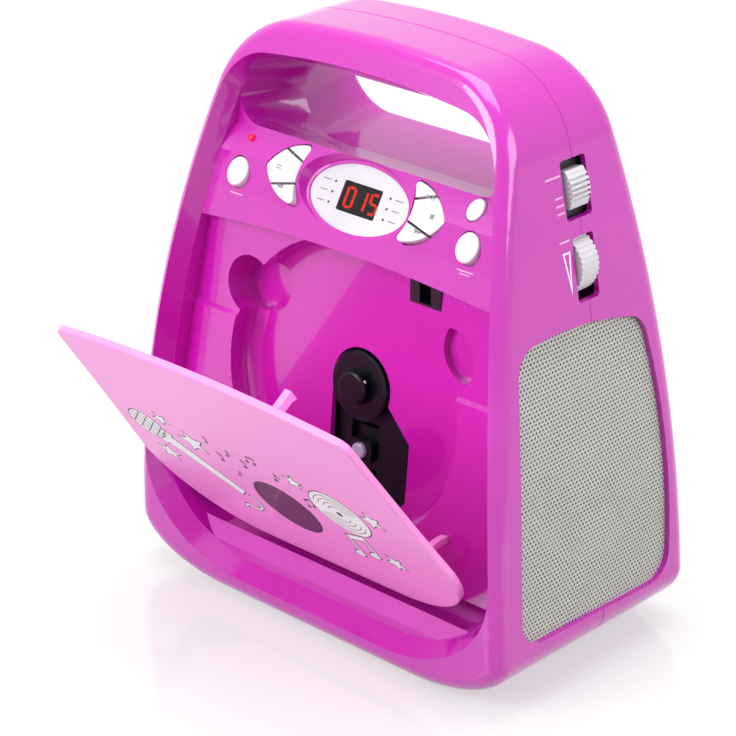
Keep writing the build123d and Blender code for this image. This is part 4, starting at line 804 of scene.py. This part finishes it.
tile_shape = hole_tile()
sheet_tree = perforated_tree()
for side, grille_name in ((1, "right_grille"), (-1, "left_grille")):
    plate = nodes[grille_name]
    low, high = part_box(grille_name)
    centre = (low + high) / 2
    arc_points = []
    for height in ARC_HEIGHTS:
        _, spot, _, _ = plate.ray_cast(Vector((side * RAY_START, 0.0, height)), Vector((-side, 0, 0)))
        arc_points.append((spot.x * side, height))
    arc_depth, arc_height, arc_radius = circle_through(arc_points)
    maker = bpy.data.objects.new(grille_name + "_maker", plate.data.copy())
    bpy.context.scene.collection.objects.link(maker)
    layer = maker.modifiers.new("perforations", "NODES")
    layer.node_group = sheet_tree
    for label, value in {
        "Tile": tile_shape,
        "Columns": int((high.y - low.y) / (HOLE_PITCH * MM)) + SPARE_TILES,
        "Rows": int((high.z - low.z) / (HOLE_PITCH * MM * ROW_STEP)) + SPARE_TILES,
        "Pitch": HOLE_PITCH * MM,
        "Side": float(side),
        "Centre": centre,
        "Arc Radius": arc_radius,
        "Arc Depth": arc_depth - SHEET * MM / 2,
        "Arc Height": arc_height,
        "Finish": grille_enamel,
    }.items():
        layer[socket_id(sheet_tree, label)] = value
    sheet_mesh = plain_mesh(maker, grille_name + "_perforated")
    sheet = link_piece(grille_name + "_perforated", sheet_mesh, "case", grille_enamel)
    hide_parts(grille_name)
bpy.data.objects.remove(tile_shape)

# Stage, lamps and camera

# Lengths in metres, but for the speckle and the camera's sensor, which are in millimetres
FLOOR_REACH = 6.0
FLOOR_GLOW = 0.5
AMBIENT = 0.5
SPECKLE_SIZE = 40.0
SENSOR_WIDTH = 36.0
FRAME_PIXELS = 736
FOCAL_PIXELS = 2657.969
CAMERA_AZIMUTH = math.radians(43.274)
CAMERA_ELEVATION = math.radians(24.127)
CAMERA_DISTANCE = 1.125485
CAMERA_AIM = Vector((-0.026784, 0.0, 0.092702))

ground = bpy.data.meshes.new("floor")
corners = [(x * FLOOR_REACH, y * FLOOR_REACH, 0) for x, y in ((-1, -1), (1, -1), (1, 1), (-1, 1))]
ground.from_pydata(corners, [], [(0, 1, 2, 3)])
floor = bpy.data.objects.new("floor", ground)
bpy.context.scene.collection.objects.link(floor)
# The table is a white laminate: near white, with a soft gloss that mirrors the base of the case.
laminate, laminate_tree, laminate_shader, laminate_place = surface(
    "white_laminate", {"Roughness": 0.1, "IOR": 1.5, "Emission Color": srgb("FFFFFF")}
)
speckle = add_node(
    laminate_tree,
    "ShaderNodeTexNoise",
    inputs={"Vector": laminate_place, "Scale": per_mm(SPECKLE_SIZE), "Detail": 1.0},
)
vary_colour(laminate_tree, laminate_shader, speckle.outputs[0], "A4A4A4", "A8A8A8")
seen = add_node(laminate_tree, "ShaderNodeLightPath").outputs
sight = add_node(laminate_tree, MATH, LARGER, {0: seen["Is Camera Ray"], 1: seen["Is Glossy Ray"]})
glow = add_node(laminate_tree, MATH, MULTIPLY, {0: sight.outputs[0], 1: FLOOR_GLOW})
laminate_tree.links.new(glow.outputs[0], laminate_shader.inputs["Emission Strength"])
ground.materials.append(laminate)

world = bpy.data.worlds.new("white_studio")
bpy.context.scene.world = world
world.use_nodes = True
sky = world.node_tree
sky.nodes.clear()
path = add_node(sky, "ShaderNodeLightPath").outputs
clear_path = add_node(sky, MATH, LARGER, {0: path["Is Camera Ray"], 1: path["Is Transmission Ray"]})
direct_path = add_node(sky, MATH, LARGER, {0: clear_path.outputs[0], 1: path["Is Glossy Ray"]})
backdrop_level = add_node(
    sky, "ShaderNodeMapRange", inputs={"Value": direct_path.outputs[0], "To Min": AMBIENT, "To Max": 1.0}
)
backdrop = add_node(
    sky,
    "ShaderNodeBackground",
    inputs={"Color": srgb("FFFFFF"), "Strength": backdrop_level.outputs["Result"]},
)
add_node(sky, "ShaderNodeOutputWorld", inputs={"Surface": backdrop.outputs[0]})


def aimed(thing, spot, aim):
    """Puts a lamp or camera at a spot, looking at its aim."""
    thing.location = spot
    thing.rotation_euler = (Vector(aim) - Vector(spot)).to_track_quat("-Z", "Y").to_euler()
    bpy.context.scene.collection.objects.link(thing)


def softbox(name, spot, aim, width, height, watts):
    lamp = bpy.data.lights.new(name, "AREA")
    lamp.shape = "RECTANGLE"
    lamp.size = width
    lamp.size_y = height
    lamp.energy = watts
    aimed(bpy.data.objects.new(name, lamp), spot, aim)


softbox("front_softbox", (-0.5, -1.5, 1.0), (0, 0, 0.12), 1.0, 1.0, 24.0)
softbox("side_softbox", (1.5, 0.3, 0.9), (0.05, 0, 0.12), 1.2, 1.0, 15.0)
softbox("top_softbox", (-0.1, 0.1, 1.6), (0, 0, 0.1), 1.2, 1.2, 17.0)

camera_data = bpy.data.cameras.new("camera")
camera_data.sensor_width = SENSOR_WIDTH
camera_data.lens = FOCAL_PIXELS / FRAME_PIXELS * SENSOR_WIDTH
camera = bpy.data.objects.new("camera", camera_data)
level_reach = math.cos(CAMERA_ELEVATION)
away = Vector(
    (
        math.sin(CAMERA_AZIMUTH) * level_reach,
        -math.cos(CAMERA_AZIMUTH) * level_reach,
        math.sin(CAMERA_ELEVATION),
    )
)
aimed(camera, CAMERA_AIM + away * CAMERA_DISTANCE, CAMERA_AIM)
bpy.context.scene.camera = camera
bpy.context.scene.view_settings.view_transform = "Standard"
